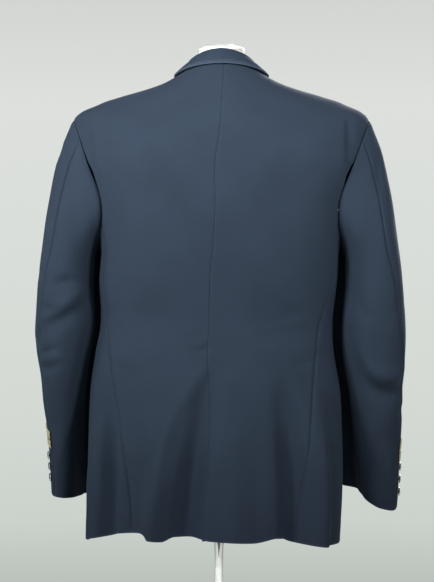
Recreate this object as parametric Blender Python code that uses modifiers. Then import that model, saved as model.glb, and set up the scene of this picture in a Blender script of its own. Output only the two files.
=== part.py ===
"""A uniform jacket on a limbless dress form with a pole stand.

The jacket is cut as a tailor cuts it: two backs, two side panels, two fronts with turned back
lapels, a collar, and a top sleeve and an under sleeve on each side. Every piece is a thin wall
mapped onto one body surface (a loft through horizontal rings) or onto one sleeve surface (a loft
from the armhole ring down to the cuff). +Z is up, the wearer faces -Y, and the wearer's left is
+X. The origin is on the floor under the pole. Lengths in the tables are in millimetres.
"""

import math
from bisect import bisect_right
from collections import namedtuple
from functools import lru_cache

import bmesh
import bpy
from mathutils import Vector

MM = 0.001

# Cloth
BODY_WALL = 2.0
SLEEVE_WALL = 1.8
COLLAR_WALL = 2.4
LAPEL_WALL = 2.2
SEAM_GAP = 0.5
SLEEVE_SEAM_GAP = 0.7
ARMHOLE_GAP = 1.1  # the seam gap, and the sag of the straight edges between two armhole stations
SLEEVE_CLEARANCE = 2.4  # from the body cloth to the sleeve that hangs against it
SLEEVE_FULLNESS = 0.8  # how much wider a sleeve is in front of its inner side, against the body
SLEEVE_FULL_FROM, SLEEVE_FULL_RATE = 0.35, 0.9  # where that fullness starts, and how fast it grows
SLEEVE_HANG = 0.9  # how strongly the sleeve drops as it leaves the armhole
SLEEVE_SWEEP = 0.9  # how long the sleeve head keeps its direction at its two ends
CREVICE_TOP, CREVICE_SOFTNESS = 1288.0, 8.0  # where the crevice starts and how round its edge is
CREVICE_REACH, CREVICE_RELEASE = 40.0, 70.0  # ahead of a sleeve's middle it meets the body again

# Fronts
BUTTON_STAND_LEFT = -20.0  # x of the left front's edge, past the centre
BUTTON_STAND_RIGHT = 29.0  # x of the right front's edge, under the left front
OVERLAP_LIFT = 2.9  # how far the left front lies above the right one
OVERLAP_START, OVERLAP_FULL = 95.0, 58.0
PARTING_LOW, PARTING_HIGH = 1300.0, 1385.0  # heights between which the overlap's lift fades out
BREAK_Z = 1190.0  # where the lapels start to turn back
NECK_ANGLE = 125.0  # where the roll line meets the neck ring
FORE_SEAM = 112.0  # angle of the seam between side panel and front

# Armhole, as an egg in side view
ARMHOLE_TOP, ARMHOLE_BOTTOM = 1415.5, 1212.0
ARMHOLE_BACK, ARMHOLE_FRONT = 66.0, 80.0
ARMHOLE_EGG = 0.2
SLEEVE_BACK_STATION, SLEEVE_FORE_STATION = 50.0, 262.0

# Trim
BRAID_WIDTH, BRAID_THICK, BRAID_LIFT = 12.0, 1.0, 0.9
CUFF_BUTTON_RADIUS, FRONT_BUTTON_RADIUS, BUTTON_GAP = 7.0, 10.5, 0.6

# Form and stand
FORM_BOTTOM = 840.0
NECK_TOP, NECK_RADIUS, NECK_SHIFT = 1530.0, 38.0, -4.0
CAP_RISE, CAP_RADIUS, CAP_CURVE = 13.4, 38.5, 80.0
ROD_RADIUS, POLE_RADIUS, FORK_RADIUS = 4.2, 6.6, 8.1
FORK_TOP, FORK_BOTTOM, FORK_SLOT = 726.0, 690.0, 6.6
BASE_RADIUS, BASE_THICK = 180.0, 8.0
HUB_RADIUS, HUB_HEIGHT = 21.0, 26.0

Ring = namedtuple(
    "Ring", "z_back z_side z_front half_width back front corner shift centre_seam left_seam right_seam"
)
# From hem to neck. The heights are at the centre back, the sides and the centre front; the corner
# is the exponent of the rounded section; the seams are angles from straight back, in degrees.
RINGS = (
    Ring(720, 720, 720, 209.5, 140, 135, 2.25, 9.5, 3.4, 36.5, 39.7),
    Ring(793, 793, 793, 211.3, 137, 133, 2.25, 7.0, 3.2, 38.0, 39.6),
    Ring(880, 880, 880, 210.8, 130, 130, 2.25, 6.0, 2.3, 43.0, 43.0),
    Ring(965, 965, 965, 207.5, 117, 126, 2.2, 6.0, 2.0, 50.0, 47.5),
    Ring(1030, 1030, 1030, 198.0, 106, 121, 2.2, 7.0, 2.1, 58.0, 54.5),
    Ring(1085, 1085, 1085, 192.5, 102, 119, 2.15, 3.5, 2.3, 68.0, 59.5),
    Ring(1150, 1150, 1150, 197.0, 111, 126, 2.15, 1.0, 2.0, 73.5, 70.0),
    Ring(1205, 1205, 1205, 198.0, 121, 132, 2.2, -2.0, 1.6, 72.0, 72.0),
    Ring(1270, 1270, 1270, 213.0, 128, 134, 2.35, -2.0, 1.2, 66.0, 66.0),
    Ring(1335, 1347, 1325, 236.0, 127, 126, 2.4, -3.0, 1.2, 66.0, 66.0),
    Ring(1390, 1415.5, 1368, 244.5, 115, 108, 1.95, -4.0, 0.8, 66.0, 66.0),
    Ring(1416, 1442, 1381, 203.5, 107, 101, 1.85, -4.5, 0.4, 66.0, 66.0),
    Ring(1442, 1454, 1392, 168.5, 95, 94, 1.85, -4.5, 0.0, 66.0, 66.0),
    Ring(1482, 1473, 1405, 104.0, 75, 84, 2.0, -5.0, -1.5, 66.0, 66.0),
    Ring(1511, 1494, 1412, 63.5, 56, 74, 2.0, -4.0, -3.0, 66.0, 66.0),
)
TIP, NECK = 10, 14  # the rings through the shoulder tips and round the neck

Hem = namedtuple("Hem", "angle drop")
# How far the hem lies above (+) or below (-) the lowest ring, all round from right front to left.
HEM = (
    Hem(-186, -21), Hem(-150, -14), Hem(-90, -2), Hem(-55, 0), Hem(-38, 9), Hem(-28, 18),
    Hem(-15, 11), Hem(0, 14), Hem(8, 21), Hem(15, 21), Hem(19.5, 14), Hem(25.5, 16), Hem(28, 24),
    Hem(31, 26), Hem(50, 21), Hem(66, 10), Hem(90, 2), Hem(120, 2), Hem(138, -1), Hem(146, -4),
    Hem(165, -9), Hem(186, -11),
)

Fold = namedtuple("Fold", "low_angle high_angle high_z half_angle height")
# Folds of the skirt: they fade out at high_z; a ridge has a positive height, a trough a negative.
FOLDS = (
    Fold(24.0, 19.0, 960, 11.0, 12.0),
    Fold(9.3, 1.5, 1040, 8.5, -10.0),
    Fold(-7.0, -7.0, 960, 10.0, 4.0),
    Fold(53.0, 53.0, 990, 10.0, -11.0),
    Fold(76.0, 74.0, 920, 13.0, 5.0),
    Fold(-34.0, -30.0, 1020, 12.0, -12.0),
    Fold(-55.0, -51.0, 1000, 13.0, 8.0),
    Fold(154.0, 150.0, 930, 12.0, 6.0),
    Fold(132.0, 128.0, 960, 12.0, -8.0),
    Fold(108.0, 106.0, 930, 12.0, 5.0),
    Fold(-112.0, -110.0, 950, 12.0, 6.0),
    Fold(-135.0, -130.0, 980, 13.0, -8.0),
)

Cuff = namedtuple(
    "Cuff",
    "z tilt_side tilt_back centre half_width forward half_depth turn back_seam fore_seam",
)
# From under the arm to the cuff. centre and forward place the section's middle out from the body's
# middle and back from it; the tilts raise the outer and the back edge; turn brings its front in;
# the seams are angles in the section, from its outermost point towards the back.
LEFT_SLEEVE = (
    Cuff(1200, 28, 0, 245.1, 42.6, -3, 76, 6, 67, 248),
    Cuff(1150, 14, 0, 250.1, 45.4, -3, 73, 8, 59, 243),
    Cuff(1095, 4, 0, 251.6, 48.4, -2, 68, 10, 51, 238),
    Cuff(1045, 0, 0, 256.0, 45.1, -5, 66, 11, 47, 234),
    Cuff(990, 0, 0, 254.1, 37.4, -15, 66, 12, 48, 230),
    Cuff(940, 0, 0, 254.4, 33.3, -28, 62, 13, 56, 228),
    Cuff(890, 0, -1, 252.4, 28.1, -42, 60, 14, 66, 227),
    Cuff(840, 0, -2, 252.1, 25.3, -54, 60, 14, 72, 226),
    Cuff(793, 4, -4, 252.6, 22.7, -64, 58, 14, 75, 226),
)
RIGHT_SLEEVE = (
    Cuff(1200, 28, 0, 249.5, 43.0, -3, 76, 6, 73, 248),
    Cuff(1150, 14, 0, 253.6, 46.9, -3, 72, 8, 64, 243),
    Cuff(1095, 4, 0, 254.5, 51.1, -2, 67, 9, 56, 238),
    Cuff(1045, 0, 0, 257.0, 51.0, -5, 64, 10, 49, 234),
    Cuff(990, 0, 0, 258.7, 46.2, -14, 60, 10, 38, 230),
    Cuff(940, 0, -2, 260.9, 43.4, -26, 58, 10, 38, 226),
    Cuff(890, 0, -5, 262.7, 40.2, -39, 55, 9, 38, 222),
    Cuff(840, -4, -10, 264.8, 36.4, -50, 50, 8, 38, 218),
    Cuff(785, -11, -16, 266.7, 32.5, -60, 47, 7, 38, 215),
)

# (height, width) of the crevice that shows between the body and the back of each sleeve.
LEFT_CREVICE = (
    (780, 10), (820, 7), (920, 5), (985, 6), (1050, 8), (1110, 6), (1180, 4), (1250, -8),
)
RIGHT_CREVICE = (
    (780, 32), (850, 22), (920, 17), (986, 15), (1050, 15), (1130, 11), (1190, 4), (1250, -8),
)

Finish = namedtuple("Finish", "color roughness metallic")
FINISHES = {
    "wool": Finish((0.030, 0.042, 0.066), 0.9, 0.0),
    "gold_braid": Finish((0.72, 0.70, 0.45), 0.45, 0.6),
    "silver_metal": Finish((0.62, 0.63, 0.62), 0.3, 1.0),
    "form_cover": Finish((0.80, 0.79, 0.76), 0.8, 0.0),
    "white_enamel": Finish((0.82, 0.84, 0.80), 0.35, 0.0),
    "steel": Finish((0.16, 0.17, 0.17), 0.4, 1.0),
}


# ---------------------------------------------------------------------------------------------
# Interpolation
# ---------------------------------------------------------------------------------------------


def eased(share):
    """Smooth step from 0 to 1."""
    share = min(1.0, max(0.0, share))
    return share * share * (3 - 2 * share)


def monotone(knots, values, at):
    """A smooth curve through values at knots that never swings past them."""
    last = len(knots) - 1
    low = min(max(bisect_right(knots, at) - 1, 0), last - 1)

    def slope(i):
        return (values[i + 1] - values[i]) / (knots[i + 1] - knots[i])

    def tangent(i):
        if i in (0, last):
            return slope(min(i, last - 1))
        before, after = slope(i - 1), slope(i)
        return 0.0 if before * after <= 0 else 2 * before * after / (before + after)

    width = knots[low + 1] - knots[low]
    t = min(1.0, max(0.0, (at - knots[low]) / width))
    return (
        values[low] * (1 + 2 * t) * (1 - t) ** 2
        + values[low + 1] * t * t * (3 - 2 * t)
        + width * tangent(low) * t * (1 - t) ** 2
        - width * tangent(low + 1) * t * t * (1 - t)
    )


@lru_cache(maxsize=None)
def row_at(table, place):
    """The table's row at a place between its rows, on a smooth curve through each column."""
    last = len(table) - 1
    low = min(max(int(place), 0), last - 1)
    before, first, second, after = (table[min(max(low + i, 0), last)] for i in (-1, 0, 1, 2))
    t = min(1.0, max(0.0, place - low))
    weights = (
        t * (1 - t) ** 2 / 2 * (1 if low > 0 else 2),
        t * t * (1 - t) / 2 * (1 if low < last - 1 else 2),
    )
    return type(first)(
        *(
            b + (c - b) * t * t * (3 - 2 * t) + (c - a) * weights[0] - (d - b) * weights[1]
            for a, b, c, d in zip(before, first, second, after)
        )
    )


def signed_power(value, power):
    return math.copysign(abs(value) ** power, value)


def spread(start, end, count):
    """count + 1 values from start to end."""
    return [start + (end - start) * i / count for i in range(count + 1)]


def hem_trimmed(values, share=0.12):
    """The values with one more close to each end, so that a wall's edge stands square."""
    near_start = values[0] + (values[1] - values[0]) * share
    near_end = values[-1] + (values[-2] - values[-1]) * share
    return [values[0], near_start, *values[1:-1], near_end, values[-1]]


# ---------------------------------------------------------------------------------------------
# The body surface: angle is 0 at the centre back and grows towards the wearer's left
# ---------------------------------------------------------------------------------------------


def fold_height(angle, z):
    """How far the folds lift the cloth there."""
    total = 0.0
    for fold in FOLDS:
        if z >= fold.high_z:
            continue
        rise = (z - RINGS[0].z_side) / (fold.high_z - RINGS[0].z_side)
        middle = fold.low_angle + (fold.high_angle - fold.low_angle) * eased(rise)
        across = abs(angle - middle) / fold.half_angle
        if across < 1:
            total += fold.height * eased(1 - across) * eased((1 - rise) * 1.6)
    return total


@lru_cache(maxsize=None)
def body_base(angle, ring_place):
    """A point of the body surface without its folds."""
    ring = row_at(RINGS, ring_place)
    side, back = math.sin(math.radians(angle)), math.cos(math.radians(angle))
    power = 2 / ring.corner
    depth, end_z = (ring.back, ring.z_back) if back > 0 else (ring.front, ring.z_front)
    z = ring.z_side + (end_z - ring.z_side) * back * back
    if ring_place < 2:
        drop = monotone([h.angle for h in HEM], [h.drop for h in HEM], angle)
        z += drop * (1 - eased(ring_place / 2))
    x = ring.shift + ring.half_width * signed_power(side, power)
    return Vector((x, depth * signed_power(back, power), z))


@lru_cache(maxsize=None)
def body_normal(angle, ring_place):
    step = 0.02
    low, high = max(ring_place - step, 0), min(ring_place + step, NECK)
    across = body_base(angle + 0.3, ring_place) - body_base(angle - 0.3, ring_place)
    along = body_base(angle, high) - body_base(angle, low)
    return along.cross(across).normalized()


def body(angle, ring_place, lift=0.0):
    """A point of the folded body cloth, lifted off its outer face."""
    point = body_base(angle, ring_place)
    height = lift + fold_height(angle, point.z)
    return point + body_normal(angle, ring_place) * height


def ring_place_of(z):
    """The ring place whose side height is z."""
    heights = [ring.z_side for ring in RINGS]
    return monotone(heights, list(range(len(RINGS))), z)


def angle_of_x(x, ring_place):
    """The angle, on the front half, where the ring reaches x."""
    ring = row_at(RINGS, ring_place)
    share = max(-1.0, min(1.0, (x - ring.shift) / ring.half_width))
    return 180 - math.degrees(math.asin(signed_power(share, ring.corner / 2)))


# ---------------------------------------------------------------------------------------------
# The armhole: station 0 is its top, 90 its back, 180 its bottom and 270 its front
# ---------------------------------------------------------------------------------------------


@lru_cache(maxsize=None)
def armhole(station, side):
    """(angle, ring place) of a station, found on the body surface from its side view."""
    turn = math.radians(station)
    middle, half = (ARMHOLE_TOP + ARMHOLE_BOTTOM) / 2, (ARMHOLE_TOP - ARMHOLE_BOTTOM) / 2
    z = middle + half * math.cos(turn)
    depth = ARMHOLE_BACK if math.sin(turn) > 0 else ARMHOLE_FRONT
    y = depth * math.sin(turn) * (1 - ARMHOLE_EGG * math.cos(turn))
    low, high = 6.0, float(TIP)
    for _ in range(40):
        place = (low + high) / 2
        ring = row_at(RINGS, place)
        across = (y / ring.back if y > 0 else y / ring.front)
        angle = math.degrees(math.acos(signed_power(across, ring.corner / 2)))
        if body_base(angle * side, place).z < z:
            low = place
        else:
            high = place
    return angle * side, place


def crossing(wanted, low, high):
    """The station between low and high where the armhole crosses a seam; wanted gives its angle."""
    for _ in range(40):
        station = (low + high) / 2
        angle, place = armhole(station, 1)
        if angle < wanted(place):
            low = station
        else:
            high = station
    return station


def seam_angle(side, ring_place):
    """The seam between back and side panel."""
    ring = row_at(RINGS, ring_place)
    return ring.left_seam if side > 0 else ring.right_seam


BACK_JOIN = crossing(lambda place: seam_angle(1, place), 90, 178)
FORE_JOIN = crossing(lambda place: FORE_SEAM, 182, 268)
TOP_BACK = spread(0, SLEEVE_BACK_STATION, 3)
LOW_BACK = spread(SLEEVE_BACK_STATION, BACK_JOIN, 4)
UPPER_BACK = TOP_BACK + LOW_BACK[1:]
UNDERARM = spread(BACK_JOIN, FORE_JOIN, 6)
UPPER_FRONT = [FORE_JOIN] + spread(SLEEVE_FORE_STATION, 360, 5)


# ---------------------------------------------------------------------------------------------
# Sheets
# ---------------------------------------------------------------------------------------------

COLLECTION = bpy.data.collections.new("jacket_on_dress_form")
CUTTERS = bpy.data.collections.new("cutters")


def clear_scene():
    for old in list(bpy.data.objects):
        bpy.data.objects.remove(old, do_unlink=True)
    for collection in (COLLECTION, CUTTERS):
        bpy.context.scene.collection.children.link(collection)


def new_material(name, finish):
    material = bpy.data.materials.new(name)
    material.use_nodes = True
    shader = material.node_tree.nodes["Principled BSDF"]
    shader.inputs["Base Color"].default_value = (*finish.color, 1)
    shader.inputs["Roughness"].default_value = finish.roughness
    shader.inputs["Metallic"].default_value = finish.metallic
    return material


def add_object(name, mesh, finish, collection=COLLECTION):
    """Links a mesh as a named piece with its own material."""
    piece = bpy.data.objects.new(name, mesh)
    collection.objects.link(piece)
    mesh.materials.append(new_material(name, FINISHES[finish]))
    return piece


def mesh_from(bm, name):
    mesh = bpy.data.meshes.new(name)
    bm.to_mesh(mesh)
    bm.free()
    mesh.shade_smooth()
    return mesh


def sheet(name, place, columns, rows, wall, finish="wool"):
    """A piece of cloth: a grid of columns by rows on place(column, row, lift), with a wall inside."""
    bm = bmesh.new()
    bmesh.ops.create_grid(bm, x_segments=len(columns) - 1, y_segments=len(rows) - 1, size=1)
    agreement = 0.0
    spots = {}
    for vertex in bm.verts:
        column = columns[round((vertex.co.x + 1) / 2 * (len(columns) - 1))]
        row = rows[round((vertex.co.y + 1) / 2 * (len(rows) - 1))]
        vertex.co = place(column, row, 0.0) * MM
        spots[vertex] = (column, row)
    bm.normal_update()
    for vertex, (column, row) in spots.items():
        outwards = place(column, row, 1.0) * MM - vertex.co
        agreement += vertex.normal.dot(outwards)
    if agreement < 0:
        bmesh.ops.reverse_faces(bm, faces=bm.faces)
    piece = add_object(name, mesh_from(bm, name), finish)
    solidify = piece.modifiers.new("wall", "SOLIDIFY")
    solidify.thickness = wall * MM
    solidify.offset = -1
    return piece


# ---------------------------------------------------------------------------------------------
# Body panels
# ---------------------------------------------------------------------------------------------


def gap_angle(ring_place):
    """Half the seam gap as an angle of the ring."""
    return math.degrees(SEAM_GAP / 2 / row_at(RINGS, ring_place).half_width) + 0.02


def shoulder_gap(ring_place):
    """Half the gap of the shoulder seam as an angle: the rings turn tightest at the shoulder tip."""
    return gap_angle(ring_place) + 0.16 * (1 - eased((ring_place - TIP) / 3))


def shoulder_angle(ring_place):
    """The shoulder seam runs from the armhole's top to a little behind the side of the neck."""
    return 90 - 14 * eased((ring_place - TIP) / (NECK - TIP))


# Ring places that the body panels share, so that the edges along a seam run side by side.
BELOW = spread(0, 2, 4) + spread(2, 6.5, 6)[1:]
ABOVE = [TIP + 0.4, TIP + 0.9, TIP + 1.5, TIP + 2.2, TIP + 3, NECK]


def above_armhole(row):
    """Whether a row's edge lies on the shoulder seam."""
    if isinstance(row, tuple):
        return row[0] % 360 == 0
    return row >= TIP


def back_edge(side, row):
    """Outer edge of a back panel. A row is a ring place, or an armhole station as a tuple."""
    if isinstance(row, tuple):
        return armhole(row[0], side)
    if row < TIP:
        return side * seam_angle(side, row), row
    return side * shoulder_angle(row), row


def make_back(side, name):
    join = armhole(BACK_JOIN, side)[1]
    armhole_rows = [(station,) for station in reversed(UPPER_BACK)]
    rows = BELOW + [(BELOW[-1] + join) / 2] + armhole_rows + ABOVE

    def place(across, row, lift):
        edge, ring_place = back_edge(side, row)
        middle = row_at(RINGS, ring_place).centre_seam
        gap = gap_angle(ring_place)
        outer_gap = shoulder_gap(ring_place) if above_armhole(row) else gap
        start, end = middle + side * gap, edge - side * outer_gap
        return body(start + (end - start) * across, ring_place, lift)

    return sheet(name, place, hem_trimmed(spread(0, 1, 8)), rows, BODY_WALL)


def side_angle(side, across, ring_place):
    """The angle in a side panel, before its top follows the armhole."""
    low_back, low_fore = side * seam_angle(side, ring_place), side * FORE_SEAM
    gap = side * gap_angle(ring_place)
    return low_back + gap + (low_fore - low_back - 2 * gap) * across


def make_side(side, name):
    columns = hem_trimmed([i / (len(UNDERARM) - 1) for i in range(len(UNDERARM))])
    top = len(BELOW) + 1

    def place(across, row, lift):
        if row < len(BELOW):
            return body(side_angle(side, across, BELOW[row]), BELOW[row], lift)
        share = (row - len(BELOW) + 1) / 2
        station = BACK_JOIN + (FORE_JOIN - BACK_JOIN) * across
        top_angle, top_place = armhole(station, side)
        aside = top_angle - side_angle(side, across, top_place)
        aside += side * gap_angle(top_place) * (1 - 2 * across)
        ring_place = BELOW[-1] + (top_place - BELOW[-1]) * share
        return body(side_angle(side, across, ring_place) + aside * share, ring_place, lift)

    return sheet(name, place, columns, list(range(top + 1)), BODY_WALL)


def edge_x(side, z):
    """x of a front's edge: the button stand, then the roll line up to the neck."""
    stand = BUTTON_STAND_LEFT if side > 0 else BUTTON_STAND_RIGHT
    neck = body_base(side * NECK_ANGLE, NECK)
    share = max(0.0, (z - BREAK_Z) / (neck.z - BREAK_Z))
    return stand + (neck.x - stand) * share


def edge_angle(side, ring_place):
    """The angle at which a front ends on a ring."""
    angle = 180.0
    for _ in range(12):
        angle = angle_of_x(edge_x(side, body_base(angle, ring_place).z), ring_place)
    if ring_place >= NECK:
        angle = NECK_ANGLE if side > 0 else 360 - NECK_ANGLE
    return angle if side > 0 else angle - 360


def overlap_lift(side, x, z):
    """The left front rises over the right one near its edge, up to where their roll lines part."""
    if side < 0:
        return 0.0
    near_edge = eased((OVERLAP_START - x) / (OVERLAP_START - OVERLAP_FULL))
    return OVERLAP_LIFT * near_edge * (1 - eased((z - PARTING_LOW) / (PARTING_HIGH - PARTING_LOW)))


def front_cloth(side, angle, ring_place, lift):
    point = body_base(angle, ring_place)
    return body(angle, ring_place, lift + overlap_lift(side, point.x, point.z))


def make_front(side, name):
    join = armhole(FORE_JOIN, side)[1]
    armhole_rows = [(station,) for station in UPPER_FRONT]
    rows = BELOW + [(BELOW[-1] + join) / 2] + armhole_rows + ABOVE

    def place(across, row, lift):
        if isinstance(row, tuple):
            start, ring_place = armhole(row[0], side)
        else:
            ring_place = row
            start = side * (FORE_SEAM if row < TIP else shoulder_angle(row))
        gap = shoulder_gap(ring_place) if above_armhole(row) else gap_angle(ring_place)
        start += side * gap
        end = edge_angle(side, ring_place)
        return front_cloth(side, start + (end - start) * across, ring_place, lift)

    return sheet(name, place, hem_trimmed(spread(0, 1, 8)), rows, BODY_WALL)


# ---------------------------------------------------------------------------------------------
# Collar and lapels
# ---------------------------------------------------------------------------------------------

FOLD_RADIUS = 4.2
FALL_LIFT = 5.5
LAPEL_LIFT, LAPEL_ROLL = 0.7, 5.0


def stand_shape(angle):
    """(rise, lean) of the collar's stand: it is lower and leans in more beside the neck."""
    at = abs(angle)
    rise = monotone((0, 50, 90, NECK_ANGLE), (19.0, 17.0, 12.0, 10.5), at)
    lean = monotone((0, 50, 90, NECK_ANGLE), (7.0, 10.0, 13.0, 11.0), at)
    return rise, lean


def fall_drop(angle):
    """How far down the rings the collar's outer edge lies."""
    return monotone((0, 60, 95, NECK_ANGLE), (0.34, 0.32, 0.36, 1.0), abs(angle))


def fall_bulge(angle):
    """How far the fall bows out, most where it crosses the front's neck edge."""
    return monotone((0, 50, 85, 105, NECK_ANGLE), (1.5, 1.5, 2.0, 5.5, 5.5), abs(angle))


def collar_point(angle, part, lift):
    """part runs 0 to 1 up the stand, 1 to 2 over the fold and 2 to 3 down the fall."""
    seam = body_base(angle, NECK)
    outwards = Vector((seam.x - RINGS[NECK].shift, seam.y, 0)).normalized()
    up = Vector((0, 0, 1))
    foot = seam - outwards * (BODY_WALL + 0.2) + up * 0.5
    rise, lean = stand_shape(angle)
    head = seam - outwards * lean + up * (rise - FOLD_RADIUS)
    centre = head + outwards * FOLD_RADIUS
    if part <= 1:
        facing = -outwards
        return foot.lerp(head, part) + facing * lift
    if part <= 2:
        turn = math.pi * (2 - part)
        facing = outwards * math.cos(turn) + up * math.sin(turn)
        return centre + facing * (FOLD_RADIUS + lift)
    top = centre + outwards * FOLD_RADIUS
    end = body(angle, NECK - fall_drop(angle), FALL_LIFT)
    share = part - 2
    bulge = math.sin(math.pi * share) * fall_bulge(angle)
    facing = (outwards + up).normalized()
    return top.lerp(end, share) + facing * (bulge + lift)


def make_collar():
    columns = hem_trimmed(spread(-NECK_ANGLE + 1.5, NECK_ANGLE - 1.5, 16))
    parts = [0, 0.5, 1, 1.25, 1.5, 1.75, 2, 2.5, 3]
    return sheet("collar", collar_point, columns, parts, COLLAR_WALL)


def front_at(side, x, z, lift):
    """The point of a front with that x and z, lifted."""
    low, high = 5.0, float(NECK)
    for _ in range(30):
        place = (low + high) / 2
        angle = angle_of_x(x, place)
        if body_base(angle, place).z < z:
            low = place
        else:
            high = place
    return front_cloth(side, angle if side > 0 else angle - 360, place, lift)


Corners = namedtuple("Corners", "roll_low roll_high edge_low edge_high")
# The lapels in front view (x, z): the roll line and the outer edge, each from low to high.
LAPELS = {
    1: Corners((-14.0, 1204.0), (48.0, 1464.0), (-9.0, 1202.0), (107.0, 1396.0)),
    -1: Corners((-7.5, 1272.0), (-57.0, 1464.0), (-19.0, 1240.0), (-117.0, 1396.0)),
}


def make_lapel(side, name):
    corners = LAPELS[side]

    def place(across, along, lift):
        inner = Vector(corners.roll_low).lerp(Vector(corners.roll_high), along)
        outer = Vector(corners.edge_low).lerp(Vector(corners.edge_high), along)
        outer.x += side * 7.0 * math.sin(math.pi * along)
        spot = inner.lerp(outer, across)
        roll = LAPEL_ROLL * (1 - across) ** 2 * eased(along * 3)
        return front_at(side, spot.x, spot.y, LAPEL_WALL + LAPEL_LIFT + roll + lift)

    return sheet(name, place, hem_trimmed(spread(0, 1, 4)), hem_trimmed(spread(0, 1, 8)), LAPEL_WALL)


# ---------------------------------------------------------------------------------------------
# Sleeves
# ---------------------------------------------------------------------------------------------


@lru_cache(maxsize=None)
def armhole_frame(station, side):
    """(point, normal, way into the hole) of the body cloth at an armhole station."""
    angle, place = armhole(station, side)
    point, normal = body_base(angle, place), body_normal(angle, place)
    ahead = body_base(*armhole(station + 1, side)) - body_base(*armhole(station - 1, side))
    inwards = ahead.cross(normal).normalized()
    middle = Vector((point.x, 0, (ARMHOLE_TOP + ARMHOLE_BOTTOM) / 2))
    if inwards.dot(middle - point) < 0:
        inwards = -inwards
    return point, normal, inwards


@lru_cache(maxsize=None)
def sleeve_start(station, side):
    """(point, direction) in which the sleeve leaves the armhole: straight on at the top, folded
    back down the outside of the body under the arm."""
    point, normal, inwards = armhole_frame(station, side)
    bend = monotone((0, 90, 140, 180, 225, 270, 360), (9, 56, 115, 165, 115, 53, 9), station % 360)
    turn = math.radians(bend)
    direction = inwards * math.cos(turn) + normal * math.sin(turn)
    half = turn / 2
    away = inwards * math.cos(half) + normal * math.sin(half)
    hang = SLEEVE_HANG * math.sin(math.radians(station)) ** 2
    return point + away * ARMHOLE_GAP, (direction + Vector((0, 0, -hang))).normalized()


def sleeve_ring(station, place, side):
    """A point of the hanging sleeve, place 1 under the arm to 9 at the cuff."""
    cuff = row_at(LEFT_SLEEVE if side > 0 else RIGHT_SLEEVE, place - 1)
    turn = math.radians(station)
    in_front = eased(SLEEVE_FULL_FROM - SLEEVE_FULL_RATE * math.sin(turn))
    inner = 1 + SLEEVE_FULLNESS * eased(-3 * math.cos(turn)) * in_front
    out, back = cuff.half_width * inner * math.cos(turn), cuff.half_depth * math.sin(turn)
    twist = math.radians(cuff.turn)
    x = cuff.centre + out * math.cos(twist) + back * math.sin(twist)
    y = cuff.forward - out * math.sin(twist) + back * math.cos(twist)
    z = cuff.z + cuff.tilt_side * math.cos(turn) + cuff.tilt_back * math.sin(turn)
    return Vector((side * x, y, z))


def clear_of_body(point, place, side, lift):
    """The point, moved out to clear the body cloth that the sleeve hangs against and, towards the
    back, to leave a crevice beside it."""
    if point.z > CREVICE_TOP:
        return point
    body_place = ring_place_of(max(point.z, RINGS[0].z_side))
    ring = row_at(RINGS, body_place)
    share = point.y / (ring.back if point.y > 0 else ring.front)
    x = abs(point.x)
    if abs(share) < 0.999:
        angle = side * math.degrees(math.acos(signed_power(share, ring.corner / 2)))
        limit = abs(body(angle, body_place, SLEEVE_CLEARANCE).x) - lift
        x += max(limit - x, 0) * eased((ARMHOLE_BOTTOM + 10 - point.z) / 20)
    cuff = row_at(LEFT_SLEEVE if side > 0 else RIGHT_SLEEVE, max(place, 1) - 1)
    ahead = 1 - eased((point.y - cuff.forward) / CREVICE_REACH + 1)
    heights, widths = zip(*(LEFT_CREVICE if side > 0 else RIGHT_CREVICE))
    crevice = ring.half_width + side * ring.shift + monotone(heights, widths, point.z)
    over = crevice - CREVICE_RELEASE * ahead - lift - x
    fade = eased((CREVICE_TOP - point.z) / 60) * eased(place / 0.8) * eased(3 - 3 * ahead)
    x += (over + math.hypot(over, CREVICE_SOFTNESS)) / 2 * fade
    return Vector((side * x, point.y, point.z))


@lru_cache(maxsize=None)
def sleeve_base(station, place, side):
    """A point of the sleeve surface, place 0 at the armhole to 9 at the cuff."""
    if place >= 1:
        return sleeve_ring(station, place, side)
    start, direction = sleeve_start(station, side)
    end = sleeve_ring(station, 1, side)
    reach = (end - start).length
    leave = direction * reach * SLEEVE_SWEEP
    below = sleeve_ring(station, 1.05, side)
    arrive = (below - end).normalized() * reach * SLEEVE_SWEEP
    t = place
    return (
        start * (1 + 2 * t) * (1 - t) ** 2
        + end * t * t * (3 - 2 * t)
        + leave * t * (1 - t) ** 2
        - arrive * t * t * (1 - t)
    )


def sleeve(station, place, side, lift=0.0):
    """A point of the sleeve cloth, lifted off its outer face."""
    point = sleeve_base(station, place, side)
    step = 0.03
    low, high = max(place - step, 0), min(place + step, len(LEFT_SLEEVE))
    around = sleeve_base(station + 2, place, side) - sleeve_base(station - 2, place, side)
    along = sleeve_base(station, high, side) - sleeve_base(station, low, side)
    normal = around.cross(along).normalized() * -side
    return clear_of_body(point + normal * lift, place, side, lift)


def sleeve_seam(which, place, side):
    """The station of the back or the fore seam, from the armhole to the cuff."""
    table = LEFT_SLEEVE if side > 0 else RIGHT_SLEEVE
    first = SLEEVE_BACK_STATION if which == "back_seam" else SLEEVE_FORE_STATION
    stations = [first] + [getattr(cuff, which) for cuff in table]
    return monotone(range(len(stations)), stations, place)


SLEEVE_ROWS = [0, 0.04, 0.3, 0.65] + spread(1, len(LEFT_SLEEVE), 9)


def sleeve_place(side, part, across, place, lift, gap=SLEEVE_SEAM_GAP / 2):
    """A point of a sleeve's top or under panel; across runs from its first seam to its second."""
    fore, back = sleeve_seam("fore_seam", place, side), sleeve_seam("back_seam", place, side)
    start, end = (fore, back + 360) if part == "topsleeve" else (back, fore)
    margin = math.degrees(gap / 45)
    return sleeve(start + margin + (end - start - 2 * margin) * across, place, side, lift)


TOP_STATIONS = UPPER_FRONT[1:] + [360 + station for station in TOP_BACK[1:]]
UNDER_STATIONS = LOW_BACK + UNDERARM[1:] + [SLEEVE_FORE_STATION]


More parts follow.
